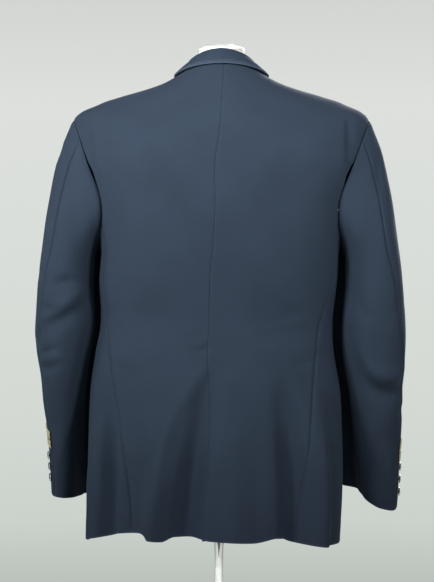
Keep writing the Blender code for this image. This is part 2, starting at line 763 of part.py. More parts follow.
def shares(stations):
    """Where the stations lie between the first and the last, from 0 to 1."""
    return [(station - stations[0]) / (stations[-1] - stations[0]) for station in stations]


def make_sleeve(side, word):
    for name, stations in (("topsleeve", TOP_STATIONS), ("undersleeve", UNDER_STATIONS)):

        def place(across, row, lift, part=name):
            return sleeve_place(side, part, across, row, lift)

        sheet(f"{name}_{word}", place, hem_trimmed(shares(stations)), SLEEVE_ROWS, SLEEVE_WALL)


# ---------------------------------------------------------------------------------------------
# Braid and buttons
# ---------------------------------------------------------------------------------------------

BRAID_LOW = {1: 873.0, -1: 853.0}  # height of the lower stripe's lower edge at the back seam
BRAID_PITCH, BRAID_RISE, BRAID_INSET = 15.5, 62.0, 1.2


def sleeve_place_at(z, side):
    """The sleeve place whose section's middle is at this height."""
    table = LEFT_SLEEVE if side > 0 else RIGHT_SLEEVE
    heights = [cuff.z for cuff in reversed(table)]
    return len(table) - monotone(heights, range(len(table)), z)


def make_braid(side, word, stripe):
    low = BRAID_LOW[side] + stripe * BRAID_PITCH
    columns = [1 - share for share in hem_trimmed(shares(TOP_STATIONS))[2:]]

    def place(from_back, across, lift):
        z = low + BRAID_RISE * from_back + BRAID_WIDTH * across
        row = sleeve_place_at(z, side)
        height = BRAID_LIFT + BRAID_THICK + lift
        return sleeve_place(side, "topsleeve", 1 - from_back, row, height, BRAID_INSET)

    name = ("lower", "upper")[stripe]
    sheet(f"cuff_braid_{name}_{word}", place, columns, [0, 0.5, 1], BRAID_THICK, "gold_braid")


def turned(name, profile, finish, steps=24):
    """A turned piece: its profile of (radius, height) runs down its outer side."""
    bm = bmesh.new()
    verts = [bm.verts.new((radius * MM, 0, height * MM)) for radius, height in profile]
    for upper, lower in zip(verts, verts[1:]):
        bm.edges.new((upper, lower))
    piece = add_object(name, mesh_from(bm, name), finish)
    screw = piece.modifiers.new("turn", "SCREW")
    screw.steps = steps
    screw.render_steps = steps
    screw.use_merge_vertices = True
    screw.merge_threshold = 0.00001
    return piece


def button_profile(radius):
    """A domed metal button on a short shank."""
    dome = [(radius * math.sin(a), 2.2 + 2.4 * math.cos(a)) for a in spread(0, math.pi / 2, 2)]
    shank = [(radius * 0.35, 1.2), (radius * 0.35, 0.0), (0.0, 0.0)]
    return [(0.0, dome[0][1]), *dome[1:], (radius * 0.9, 1.5), *shank]


def seat_button(button, point, normal):
    button.location = (point + normal * BUTTON_GAP) * MM
    button.rotation_euler = normal.to_track_quat("Z", "Y").to_euler()


CUFF_BUTTON_STEP = 18.5
CUFF_BUTTON_TOP = {1: 861.0, -1: 843.5}
CUFF_BUTTON_FROM_SEAM = 24.0  # degrees round the sleeve, from the back seam towards the front


def make_cuff_buttons(side, word):
    for number in range(3):
        row = sleeve_place_at(CUFF_BUTTON_TOP[side] - number * CUFF_BUTTON_STEP, side)
        station = sleeve_seam("back_seam", row, side) - CUFF_BUTTON_FROM_SEAM
        point = sleeve(station, row, side)
        normal = (sleeve(station, row, side, 1.0) - point).normalized()
        name = f"cuff_button_{number + 1}_{word}"
        seat_button(turned(name, button_profile(CUFF_BUTTON_RADIUS), "silver_metal", 12), point, normal)


FRONT_BUTTON_X, FRONT_BUTTON_TOP, FRONT_BUTTON_STEP, FRONT_BUTTONS = 4.0, 1178.0, 88.0, 4


def make_front_buttons():
    for number in range(FRONT_BUTTONS):
        z = FRONT_BUTTON_TOP - number * FRONT_BUTTON_STEP
        place = ring_place_of(z)
        angle = angle_of_x(FRONT_BUTTON_X, place)
        point = front_cloth(1, angle, place, 0.0)
        normal = (front_cloth(1, angle, place, 1.0) - point).normalized()
        name = f"front_button_{number + 1}"
        seat_button(turned(name, button_profile(FRONT_BUTTON_RADIUS), "silver_metal", 16), point, normal)


# ---------------------------------------------------------------------------------------------
# Dress form and stand
# ---------------------------------------------------------------------------------------------


def form_inset(angle, ring_place):
    """How far the form lies inside the cloth: it carries it on the shoulders and hangs clear below."""
    seat = BODY_WALL + 0.6
    slack = monotone((0, 3, 5, 7, 9, 10, 12, 13, NECK), (16, 14, 9, 7, 4, 2.4, 1.6, 2.6, 12), ring_place)
    front = max(0.0, -math.cos(math.radians(angle)))
    at_side = abs(math.sin(math.radians(angle))) ** 4
    tip = 30 * at_side * eased((ring_place - 6.5) / 2) * (1 - eased((ring_place - 9.4) / 1.2))
    return seat + slack + 7 * front + tip


def form_point(angle, ring_place):
    """A point of the form: the torso up to the neck ring, then the neck column."""
    if ring_place <= NECK:
        point = body_base(angle, ring_place) - body_normal(angle, ring_place) * form_inset(angle, ring_place)
        if ring_place <= ring_place_of(FORM_BOTTOM):
            point.z = FORM_BOTTOM
        return point
    share = ring_place - NECK
    turn = math.radians(angle)
    foot = body_base(angle, NECK) - body_normal(angle, NECK) * form_inset(angle, NECK)
    radius = NECK_RADIUS + 4 * (1 - eased(share * 1.6))
    column = Vector((NECK_SHIFT + radius * math.sin(turn), radius * math.cos(turn), 0))
    foot_x, foot_y = foot.x, foot.y
    blend = eased(share * 2.2)
    z = foot.z + (NECK_TOP - foot.z) * share
    return Vector((foot_x + (column.x - foot_x) * blend, foot_y + (column.y - foot_y) * blend, z))


def make_form():
    lowest = ring_place_of(FORM_BOTTOM)
    rows = [lowest] + spread(2.6, NECK, 12) + [NECK + 0.25, NECK + 0.5, NECK + 1]
    around = 24
    bm = bmesh.new()
    bmesh.ops.create_grid(bm, x_segments=around, y_segments=len(rows) - 1, size=1)
    for vertex in bm.verts:
        angle = (vertex.co.x + 1) * 180
        row = rows[round((vertex.co.y + 1) / 2 * (len(rows) - 1))]
        angle = angle - 360 if angle > 180 else angle
        vertex.co = form_point(angle, row) * MM
    bmesh.ops.remove_doubles(bm, verts=bm.verts, dist=0.00001)
    open_edges = [edge for edge in bm.edges if edge.is_boundary]
    bmesh.ops.holes_fill(bm, edges=open_edges, sides=0)
    bmesh.ops.recalc_face_normals(bm, faces=bm.faces)
    add_object("form_torso", mesh_from(bm, "form_torso"), "form_cover")


def make_neck_cap():
    """A shallow domed cap on the neck."""
    dome = [(r, CAP_RISE - r * r / (2 * CAP_CURVE)) for r in spread(0, CAP_RADIUS, 4)]
    profile = [*dome, (CAP_RADIUS, 0.0), (0.0, 0.0)]
    cap = turned("neck_cap", profile, "white_enamel", 32)
    cap.location = Vector((NECK_SHIFT, 0, NECK_TOP + SEAM_GAP)) * MM


def make_pole():
    """A steel rod up to the form, in a white tube whose top is opened out and slit."""
    low = BASE_THICK + SEAM_GAP
    top = FORM_BOTTOM - SEAM_GAP
    rod = [(0.0, top), (ROD_RADIUS, top), (ROD_RADIUS, low), (0.0, low)]
    turned("pole_rod", rod, "steel", 16)
    bore = ROD_RADIUS + SEAM_GAP
    profile = [
        (FORK_RADIUS - 1.6, FORK_TOP), (FORK_RADIUS, FORK_TOP), (POLE_RADIUS, FORK_BOTTOM),
        (POLE_RADIUS, low), (bore, low), (bore, FORK_BOTTOM), (FORK_RADIUS - 1.6, FORK_TOP),
    ]
    tube = turned("pole_tube", profile, "white_enamel", 24)
    slit = tube.modifiers.new("slit", "BOOLEAN")
    slit.operation = "DIFFERENCE"
    slit.solver = "EXACT"
    slit.object = slit_cutter()


def slit_cutter():
    """A wedge that narrows downwards, through the tube's wall at the back."""
    above = FORK_TOP + 2
    spread_at_top = FORK_SLOT / 2 * (above - FORK_BOTTOM) / (FORK_TOP - FORK_BOTTOM)
    corners = ((0, FORK_BOTTOM), (spread_at_top, above), (-spread_at_top, above))
    bm = bmesh.new()
    face = bm.faces.new([bm.verts.new((x * MM, ROD_RADIUS * MM, z * MM)) for x, z in corners])
    moved = bmesh.ops.extrude_face_region(bm, geom=[face])["geom"]
    verts = [item for item in moved if isinstance(item, bmesh.types.BMVert)]
    bmesh.ops.translate(bm, verts=verts, vec=(0, 2 * FORK_RADIUS * MM, 0))
    bmesh.ops.recalc_face_normals(bm, faces=bm.faces)
    cutter = add_object("slit_cutter", mesh_from(bm, "slit_cutter"), "steel", CUTTERS)
    cutter.hide_render = True
    cutter.display_type = "WIRE"
    return cutter


def make_base():
    """A flat round plate with a hub that holds the tube upright."""
    edge = 2.0
    plate = [
        (0.0, BASE_THICK), (BASE_RADIUS - edge, BASE_THICK), (BASE_RADIUS, BASE_THICK - edge),
        (BASE_RADIUS, 0.0), (0.0, 0.0),
    ]
    turned("stand_base", plate, "white_enamel", 48)
    bore = POLE_RADIUS + SEAM_GAP
    low, top = BASE_THICK + SEAM_GAP, BASE_THICK + HUB_HEIGHT
    hub = [
        (bore, top), (HUB_RADIUS - edge, top), (HUB_RADIUS, top - edge), (HUB_RADIUS, low), (bore, low),
        (bore, top),
    ]
    turned("stand_hub", hub, "white_enamel", 24)


if __name__ == "__main__":
    clear_scene()
    for side, word in ((1, "left"), (-1, "right")):
        make_back(side, f"back_{word}")
        make_side(side, f"side_{word}")
        make_front(side, f"front_{word}")
        make_lapel(side, f"lapel_{word}")
        make_sleeve(side, word)
        for stripe in (0, 1):
            make_braid(side, word, stripe)
        make_cuff_buttons(side, word)
    make_collar()
    make_front_buttons()
    make_form()
    make_neck_cap()
    make_pole()
    make_base()
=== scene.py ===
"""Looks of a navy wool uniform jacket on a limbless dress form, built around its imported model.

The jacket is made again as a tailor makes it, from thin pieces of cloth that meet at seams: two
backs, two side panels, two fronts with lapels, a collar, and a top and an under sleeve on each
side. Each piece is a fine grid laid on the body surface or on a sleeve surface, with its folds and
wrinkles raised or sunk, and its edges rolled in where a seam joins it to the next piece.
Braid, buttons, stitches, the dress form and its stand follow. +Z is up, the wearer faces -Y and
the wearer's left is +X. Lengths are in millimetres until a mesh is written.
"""

import logging
import math
from dataclasses import dataclass, field
from enum import Enum
from functools import partial
from typing import Callable, Iterable, NamedTuple, Sequence

import bmesh
import bpy
import numpy as np
from mathutils import Matrix, Vector


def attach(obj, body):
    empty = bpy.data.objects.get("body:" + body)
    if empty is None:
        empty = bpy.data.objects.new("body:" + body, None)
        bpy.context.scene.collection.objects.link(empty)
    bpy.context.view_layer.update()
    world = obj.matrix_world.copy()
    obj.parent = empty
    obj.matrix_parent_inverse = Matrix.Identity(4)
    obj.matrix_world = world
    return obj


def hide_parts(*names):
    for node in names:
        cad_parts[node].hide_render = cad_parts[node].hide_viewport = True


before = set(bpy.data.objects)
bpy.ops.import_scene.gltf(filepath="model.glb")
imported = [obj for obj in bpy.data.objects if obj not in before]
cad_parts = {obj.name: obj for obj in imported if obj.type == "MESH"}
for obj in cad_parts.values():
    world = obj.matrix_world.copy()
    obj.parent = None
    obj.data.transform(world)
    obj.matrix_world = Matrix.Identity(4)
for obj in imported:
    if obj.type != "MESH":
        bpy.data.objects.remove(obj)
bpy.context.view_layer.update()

LOG = logging.getLogger("jacket")
MM = 0.001
UP = np.array((0.0, 0.0, 1.0))
Array = np.ndarray
Place = Callable[[Array, Array, Array], Array]


# Numbers
# -------


def eased(share: Array | float) -> Array:
    """Smooth step from 0 to 1."""
    share = np.clip(share, 0.0, 1.0)
    return share * share * (3 - 2 * share)


def bell(distance: Array, reach: Array | float) -> Array:
    """1 at distance 0, falling smoothly to 0 at about twice reach."""
    return np.exp(-((distance / reach) ** 2))


def signed_power(value: Array, power: Array | float) -> Array:
    """The power of a value's size, with its sign kept."""
    return np.sign(value) * np.abs(value) ** power


def unit(vectors: Array) -> Array:
    """Vectors scaled to length 1."""
    return vectors / np.maximum(np.linalg.norm(vectors, axis=-1, keepdims=True), 1e-12)


def points_of(x: Array, y: Array, z: Array) -> Array:
    """Three coordinates stacked as points."""
    return np.stack(np.broadcast_arrays(x, y, z), axis=-1).astype(float)


def full(like: Array, value: float) -> Array:
    """An array shaped like another, filled with one value."""
    return np.full(np.shape(like), float(value))


def ripple(u: Array, v: Array) -> Array:
    """The slight unevenness of hanging cloth.

    Args:
        u: places across the cloth.
        v: places along it, over which the ripples are longer.

    Returns:
        The unevenness, within about 1 either way.
    """
    return (
        0.42 * np.sin(u / 11.3 + 0.9 * np.sin(v / 61.0))
        + 0.38 * np.sin(u / 17.9 + v / 47.0 + 1.3)
        + 0.34 * np.sin(v / 15.1 - u / 29.0 + 0.8 * np.sin(u / 41.0))
        + 0.30 * np.sin(u / 7.1 - v / 23.0 + 2.1)
    )


def cubic(start: Array, end: Array, leaving: Array, arriving: Array, t: Array) -> Array:
    """A cubic curve between two values.

    Args:
        start: where it starts, at t = 0.
        end: where it ends, at t = 1.
        leaving: its slope at the start.
        arriving: its slope at the end.
        t: how far along it is read.

    Returns:
        The values at t.
    """
    return (
        start * (1 + 2 * t) * (1 - t) ** 2
        + end * t * t * (3 - 2 * t)
        + leaving * t * (1 - t) ** 2
        - arriving * t * t * (1 - t)
    )


def halved(
    low: Array | float, high: Array | float, is_low: Callable[[Array], Array], steps: int = 40
) -> Array:
    """Finds where a test turns false between two values, by halving.

    Args:
        low: values that pass the test.
        high: values that don't.
        is_low: the test.
        steps: how many times the stretch is halved.

    Returns:
        The values at the turn.
    """
    for _ in range(steps):
        middle = (low + high) / 2
        below = is_low(middle)
        low, high = np.where(below, middle, low), np.where(below, high, middle)
    return middle


class Curve:
    """A smooth curve through values at knots that never swings past them."""

    def __init__(self, knots: Sequence[float], values: Sequence[float]) -> None:
        """Keeps the knots and works out the slopes.

        Args:
            knots: places in rising order.
            values: the value at each place.
        """
        self.knots = np.array(knots, float)
        self.values = np.array(values, float)
        slopes = np.diff(self.values) / np.diff(self.knots)
        before, after = slopes[:-1], slopes[1:]
        total = np.where(before * after > 0, before + after, 1.0)
        inner = np.where(before * after > 0, 2 * before * after / total, 0.0)
        self.slopes = np.concatenate((slopes[:1], inner, slopes[-1:]))

    def __call__(self, at: Array | float) -> Array:
        """Reads the curve, which is level past its ends.

        Args:
            at: places along it.

        Returns:
            The value at each place.
        """
        at = np.asarray(at, float)
        low = np.clip(np.searchsorted(self.knots, at, side="right") - 1, 0, len(self.knots) - 2)
        width = self.knots[low + 1] - self.knots[low]
        t = np.clip((at - self.knots[low]) / width, 0.0, 1.0)
        slopes = (width * self.slopes[low], width * self.slopes[low + 1])
        return cubic(self.values[low], self.values[low + 1], *slopes, t)


class Table:
    """Rows of named sizes with a smooth curve through each column."""

    def __init__(self, rows: Sequence[NamedTuple]) -> None:
        """Keeps the rows as numbers, and their type for the names."""
        self.kind = type(rows[0])
        self.numbers = np.array([tuple(row) for row in rows], float)

    def at(self, place: Array | float) -> NamedTuple:
        """Reads the table.

        Args:
            place: row numbers, with the places between two rows in between.

        Returns:
            The named sizes at each place.
        """
        place = np.asarray(place, float)
        last = len(self.numbers) - 1
        low = np.clip(place.astype(int), 0, last - 1)
        a, b, c, d = (self.numbers[np.clip(low + i, 0, last)] for i in (-1, 0, 1, 2))
        leaving = (c - a) / np.where(low > 0, 2, 1)[..., None]
        arriving = (d - b) / np.where(low < last - 1, 2, 1)[..., None]
        mixed = cubic(b, c, leaving, arriving, np.clip(place - low, 0.0, 1.0)[..., None])
        return self.kind(*np.moveaxis(mixed, -1, 0))


# Sizes of the jacket
# -------------------


class Side(Enum):
    """A side of the jacket, as the wearer's."""

    LEFT = 1
    RIGHT = -1

    @property
    def word(self) -> str:
        """The side's name in the names of pieces."""
        return self.name.lower()


class Ring(NamedTuple):
    """A ring round the body: heights, half sizes, the rounding's exponent and the seams' angles."""

    z_back: float
    z_side: float
    z_front: float
    half_width: float
    back: float
    front: float
    corner: float
    shift: float
    centre_seam: float
    left_seam: float
    right_seam: float


class Cuff(NamedTuple):
    """A ring round a sleeve: its middle, half sizes, tilts and turn, and the seams' angles."""

    z: float
    tilt_side: float
    tilt_back: float
    centre: float
    half_width: float
    forward: float
    half_depth: float
    turn: float
    back_seam: float
    fore_seam: float


class Fold(NamedTuple):
    """A long fold of the skirt that fades out at high_z; a trough has a negative height."""

    low_angle: float
    high_angle: float
    high_z: float
    half_angle: float
    height: float


class Crease(NamedTuple):
    """A wrinkle from (u0, z0) to (u1, z1): bow sideways, reach on its steep and its slack side."""

    u0: float
    z0: float
    u1: float
    z1: float
    bow: float
    steep: float
    slack: float
    height: float


RINGS = (
    Ring(720, 720, 720, 209.5, 140, 135, 2.25, 9.5, 3.4, 36.5, 39.7),
    Ring(793, 793, 793, 211.3, 137, 133, 2.25, 7.0, 3.2, 38.0, 39.6),
    Ring(880, 880, 880, 210.8, 130, 130, 2.25, 6.0, 2.3, 43.0, 43.0),
    Ring(965, 965, 965, 207.5, 117, 126, 2.2, 6.0, 2.0, 50.0, 47.5),
    Ring(1030, 1030, 1030, 198.0, 106, 121, 2.3, 7.0, 2.1, 58.0, 54.5),
    Ring(1085, 1085, 1085, 192.5, 102, 119, 2.3, 3.5, 2.3, 68.0, 59.5),
    Ring(1150, 1150, 1150, 197.0, 111, 126, 2.5, 1.0, 2.0, 73.5, 70.0),
    Ring(1205, 1205, 1205, 198.0, 121, 132, 2.5, -2.0, 1.6, 72.0, 72.0),
    Ring(1270, 1270, 1270, 213.0, 128, 134, 2.35, -2.0, 1.2, 66.0, 66.0),
    Ring(1335, 1347, 1325, 236.0, 127, 126, 2.4, -3.0, 1.2, 66.0, 66.0),
    Ring(1390, 1415.5, 1368, 244.5, 115, 108, 1.95, -4.0, 0.8, 66.0, 66.0),
    Ring(1416, 1442, 1381, 203.5, 107, 101, 1.85, -4.5, 0.4, 66.0, 66.0),
    Ring(1442, 1454, 1392, 168.5, 95, 94, 1.85, -4.5, 0.0, 66.0, 66.0),
    Ring(1482, 1473, 1405, 104.0, 75, 84, 2.0, -5.0, -1.5, 66.0, 66.0),
    Ring(1511, 1494, 1412, 63.5, 56, 74, 2.0, -4.0, -3.0, 66.0, 66.0),
)
TIP, NECK = 10, 14  # the rings through the shoulder tips and round the neck

# (angle, rise): how far the hem lies above or below the lowest ring, all round.
HEM = (
    (-186, -21), (-150, -14), (-90, -2), (-55, 0), (-38, 9), (-28, 18), (-15, 11), (0, 14), (8, 21),
    (15, 21), (19.5, 14), (25.5, 16), (28, 24), (31, 26), (50, 21), (66, 10), (90, 2), (120, 2),
    (138, -1), (146, -4), (165, -9), (186, -11),
)

FOLDS = (
    Fold(24.0, 19.0, 960, 10.0, 23.0),
    Fold(10.0, 1.5, 1040, 8.0, -20.0),
    Fold(-8.0, -7.0, 980, 9.0, 5.0),
    Fold(38.0, 38.0, 940, 8.0, -3.0),
    Fold(53.0, 54.0, 1000, 10.0, -20.0),
    Fold(68.0, 68.0, 960, 10.0, 12.0),
    Fold(-35.5, -31.0, 1030, 10.0, -23.0),
    Fold(-53.0, -50.0, 1000, 11.0, 17.0),
    Fold(154.0, 150.0, 930, 12.0, 6.0),
    Fold(132.0, 128.0, 960, 12.0, -8.0),
    Fold(108.0, 106.0, 930, 12.0, 5.0),
    Fold(-112.0, -110.0, 950, 12.0, 6.0),
    Fold(-135.0, -130.0, 980, 13.0, -8.0),
)

SLEEVES = {
    Side.LEFT: (
        Cuff(1200, 28, 0, 245.1, 42.6, -3, 76, 6, 67, 248),
        Cuff(1150, 14, 0, 250.1, 45.4, -3, 73, 8, 59, 243),
        Cuff(1095, 4, 0, 251.6, 48.4, -2, 68, 10, 51, 238),
        Cuff(1045, 0, 0, 256.0, 45.1, -5, 66, 11, 47, 234),
        Cuff(990, 0, 0, 254.1, 37.4, -15, 66, 12, 48, 230),
        Cuff(940, 0, 0, 254.4, 33.3, -28, 62, 13, 56, 228),
        Cuff(890, 0, -1, 252.4, 28.1, -42, 60, 14, 66, 227),
        Cuff(840, 0, -2, 252.1, 25.3, -54, 60, 14, 72, 226),
        Cuff(793, 4, -4, 252.6, 22.7, -64, 58, 14, 75, 226),
    ),
    Side.RIGHT: (
        Cuff(1200, 28, 0, 249.5, 43.0, -3, 76, 6, 73, 248),
        Cuff(1150, 14, 0, 253.6, 46.9, -3, 72, 8, 64, 243),
        Cuff(1095, 4, 0, 254.5, 51.1, -2, 67, 9, 56, 238),
        Cuff(1045, 0, 0, 257.0, 51.0, -5, 64, 10, 49, 234),
        Cuff(990, 0, 0, 258.7, 46.2, -14, 60, 10, 38, 230),
        Cuff(940, 0, -2, 260.9, 43.4, -26, 58, 10, 38, 226),
        Cuff(890, 0, -5, 262.7, 40.2, -39, 55, 9, 38, 222),
        Cuff(840, -4, -10, 264.8, 36.4, -50, 50, 8, 38, 218),
        Cuff(785, -11, -16, 266.7, 32.5, -60, 47, 7, 38, 215),
    ),
}
CUFF_PLACE = len(SLEEVES[Side.LEFT])

# (height, width) of the dark crevice between the body and the back of each sleeve.
CREVICES = {
    Side.LEFT: (
        (780, 10), (820, 7), (920, 5), (985, 6), (1050, 8), (1110, 9), (1200, 8), (1265, -3),
        (1290, -11), (1320, -21),
    ),
    Side.RIGHT: (
        (780, 32), (850, 22), (920, 17), (986, 15), (1050, 15), (1130, 13), (1190, 8), (1250, -2),
        (1285, -10), (1318, -18),
    ),
}

# Wrinkles of the body as seen from behind, and as seen from in front: u is x.
BACK_CREASES = (
    Crease(211, 1399, 206, 1336, 0, 4, 9, -5.0),
    Crease(206, 1345, 196, 1307, 2, 4, 9, -4.0),
    Crease(-210, 1412, -211, 1333, 0, 9, 4, -5.0),
    Crease(-211, 1343, -207, 1307, -2, 9, 4, -4.0),
    Crease(54, 1318, 10, 1254, 4, 8, 16, -1.8),
    Crease(40, 1036, 16, 1045, 2, 4, 7, -2.6),
    Crease(44, 1050, 14, 1058, 2, 6, 10, 1.5),
    Crease(144, 1054, 54, 1061, 5, 9, 20, -1.5),
    Crease(-50, 1048, -157, 1070, -6, 9, 20, -1.5),
    Crease(150, 1112, 74, 1086, 5, 9, 18, -1.2),
    Crease(-150, 1106, -78, 1082, -4, 9, 18, -1.2),
    Crease(176, 1020, 120, 1002, 6, 7, 14, -1.6),
    Crease(-176, 1036, -112, 1010, -6, 7, 14, -1.8),
    Crease(110, 722, 99, 853, 0, 8, 11, 5.0),
    Crease(99, 853, 18, 1010, -12, 11, 13, 6.2),
    Crease(51, 730, 46, 853, 0, 9, 14, -3.6),
    Crease(46, 853, 12, 1012, -5, 9, 14, -3.6),
    Crease(178, 728, 176, 905, 0, 16, 8, -3.8),
    Crease(-108, 722, -98, 960, 0, 17, 8, -4.0),
    Crease(-148, 722, -136, 930, 0, 9, 14, 2.2),
    Crease(-36, 724, -28, 850, 2, 10, 13, -1.8),
    Crease(156, 1300, 176, 1226, 4, 16, 24, 2.2),
    Crease(-150, 1296, -172, 1222, -4, 22, 14, 1.6),
    Crease(120, 1372, 60, 1352, 5, 10, 20, -0.9),
    Crease(-60, 1380, -130, 1366, -5, 10, 20, -0.9),
)
FRONT_CREASES = (
    Crease(44, 1168, 128, 1226, 6, 8, 16, -2.2),
    Crease(-44, 1172, -120, 1222, -5, 8, 15, -1.9),
    Crease(36, 1092, 150, 1110, -5, 7, 14, -1.6),
    Crease(-40, 1084, -146, 1102, 4, 7, 13, -1.4),
    Crease(40, 1010, 140, 990, 6, 8, 15, -1.3),
    Crease(-36, 1002, -150, 978, -6, 8, 15, -1.5),
    Crease(176, 1352, 186, 1270, 5, 9, 17, -3.4),
    Crease(-176, 1352, -188, 1268, -5, 9, 17, -3.8),
)

# Wrinkles of the sleeves: u is the place round the sleeve, in millimetres back from its outermost
# line, and z the height.
SLEEVE_CREASES = {
    Side.LEFT: (
        Crease(84, 1142, 117, 1147, 2, 6, 9, -7.0),
        Crease(136, 1134, 72, 1080, -6, 8, 12, 7.0),
        Crease(54, 1106, 91, 1104, -2, 5, 7, -6.0),
        Crease(133, 1101, 36, 1052, -6, 10, 18, -7.5),
        Crease(54, 1028, 97, 1037, 2, 5, 7, -5.5),
        Crease(54, 1016, 100, 1024, 2, 5, 7, 3.6),
        Crease(52, 1003, 97, 1010, -2, 5, 7, -4.8),
        Crease(40, 1389, -20, 1347, 4, 4, 9, -3.8),
        Crease(55, 1367, 51, 1332, 2, 5, 9, 2.0),
        Crease(110, 925, 50, 905, 5, 8, 14, -1.8),
        Crease(20, 1160, 62, 1150, 4, 7, 12, -1.8),
    ),
    Side.RIGHT: (
        Crease(130, 1026, 44, 1002, 22, 15, 11, 8.5),
        Crease(134, 996, 40, 976, 22, 10, 20, -7.5),
        Crease(22, 1378, 59, 1299, 3, 5, 9, -4.2),
        Crease(136, 1119, 106, 1089, 4, 7, 12, -2.6),
        Crease(92, 938, -10, 942, 4, 7, 12, -1.8),
        Crease(30, 1110, 80, 1092, 5, 7, 13, -1.8),
        Crease(110, 1062, 70, 1046, 4, 8, 14, -1.4),
        Crease(100, 890, 40, 872, -4, 8, 15, -1.6),
    ),
}
INNER_SLEEVE_CREASES = (
    Crease(-30, 1150, -120, 1132, 6, 8, 15, -3.2),
    Crease(-60, 1096, -150, 1078, -5, 7, 14, -3.4),
    Crease(-24, 1062, -118, 1040, 6, 8, 15, 2.8),
    Crease(-40, 1018, -136, 1004, 5, 7, 13, -3.0),
    Crease(-60, 962, -128, 950, -4, 8, 14, -2.2),
    Crease(-30, 1290, -60, 1226, 4, 9, 18, -3.0),
)


def crease_lift(creases: Iterable[Crease], u: Array, z: Array) -> Array:
    """How far some wrinkles raise the cloth.

    Args:
        creases: the wrinkles, in the same coordinates as u and z.
        u: places across the cloth.
        z: heights.

    Returns:
        The lift at each place, negative in a trough.
    """
    total = np.zeros(np.broadcast(u, z).shape)
    for crease in creases:
        run, rise = crease.u1 - crease.u0, crease.z1 - crease.z0
        length = math.hypot(run, rise)
        along = ((u - crease.u0) * run + (z - crease.z0) * rise) / length**2
        aside = ((z - crease.z0) * run - (u - crease.u0) * rise) / length
        held = np.clip(along, 0, 1)
        aside = aside - crease.bow * 4 * held * (1 - held)
        past = np.maximum(np.maximum(-along, along - 1), 0) * length
        fade = 0.35 + 0.65 * np.sin(math.pi * held)
        reach = np.where(aside > 0, crease.slack, crease.steep)
        total += crease.height * fade * bell(aside, reach) * bell(past, crease.slack)
    return total


# The body surface
# ----------------


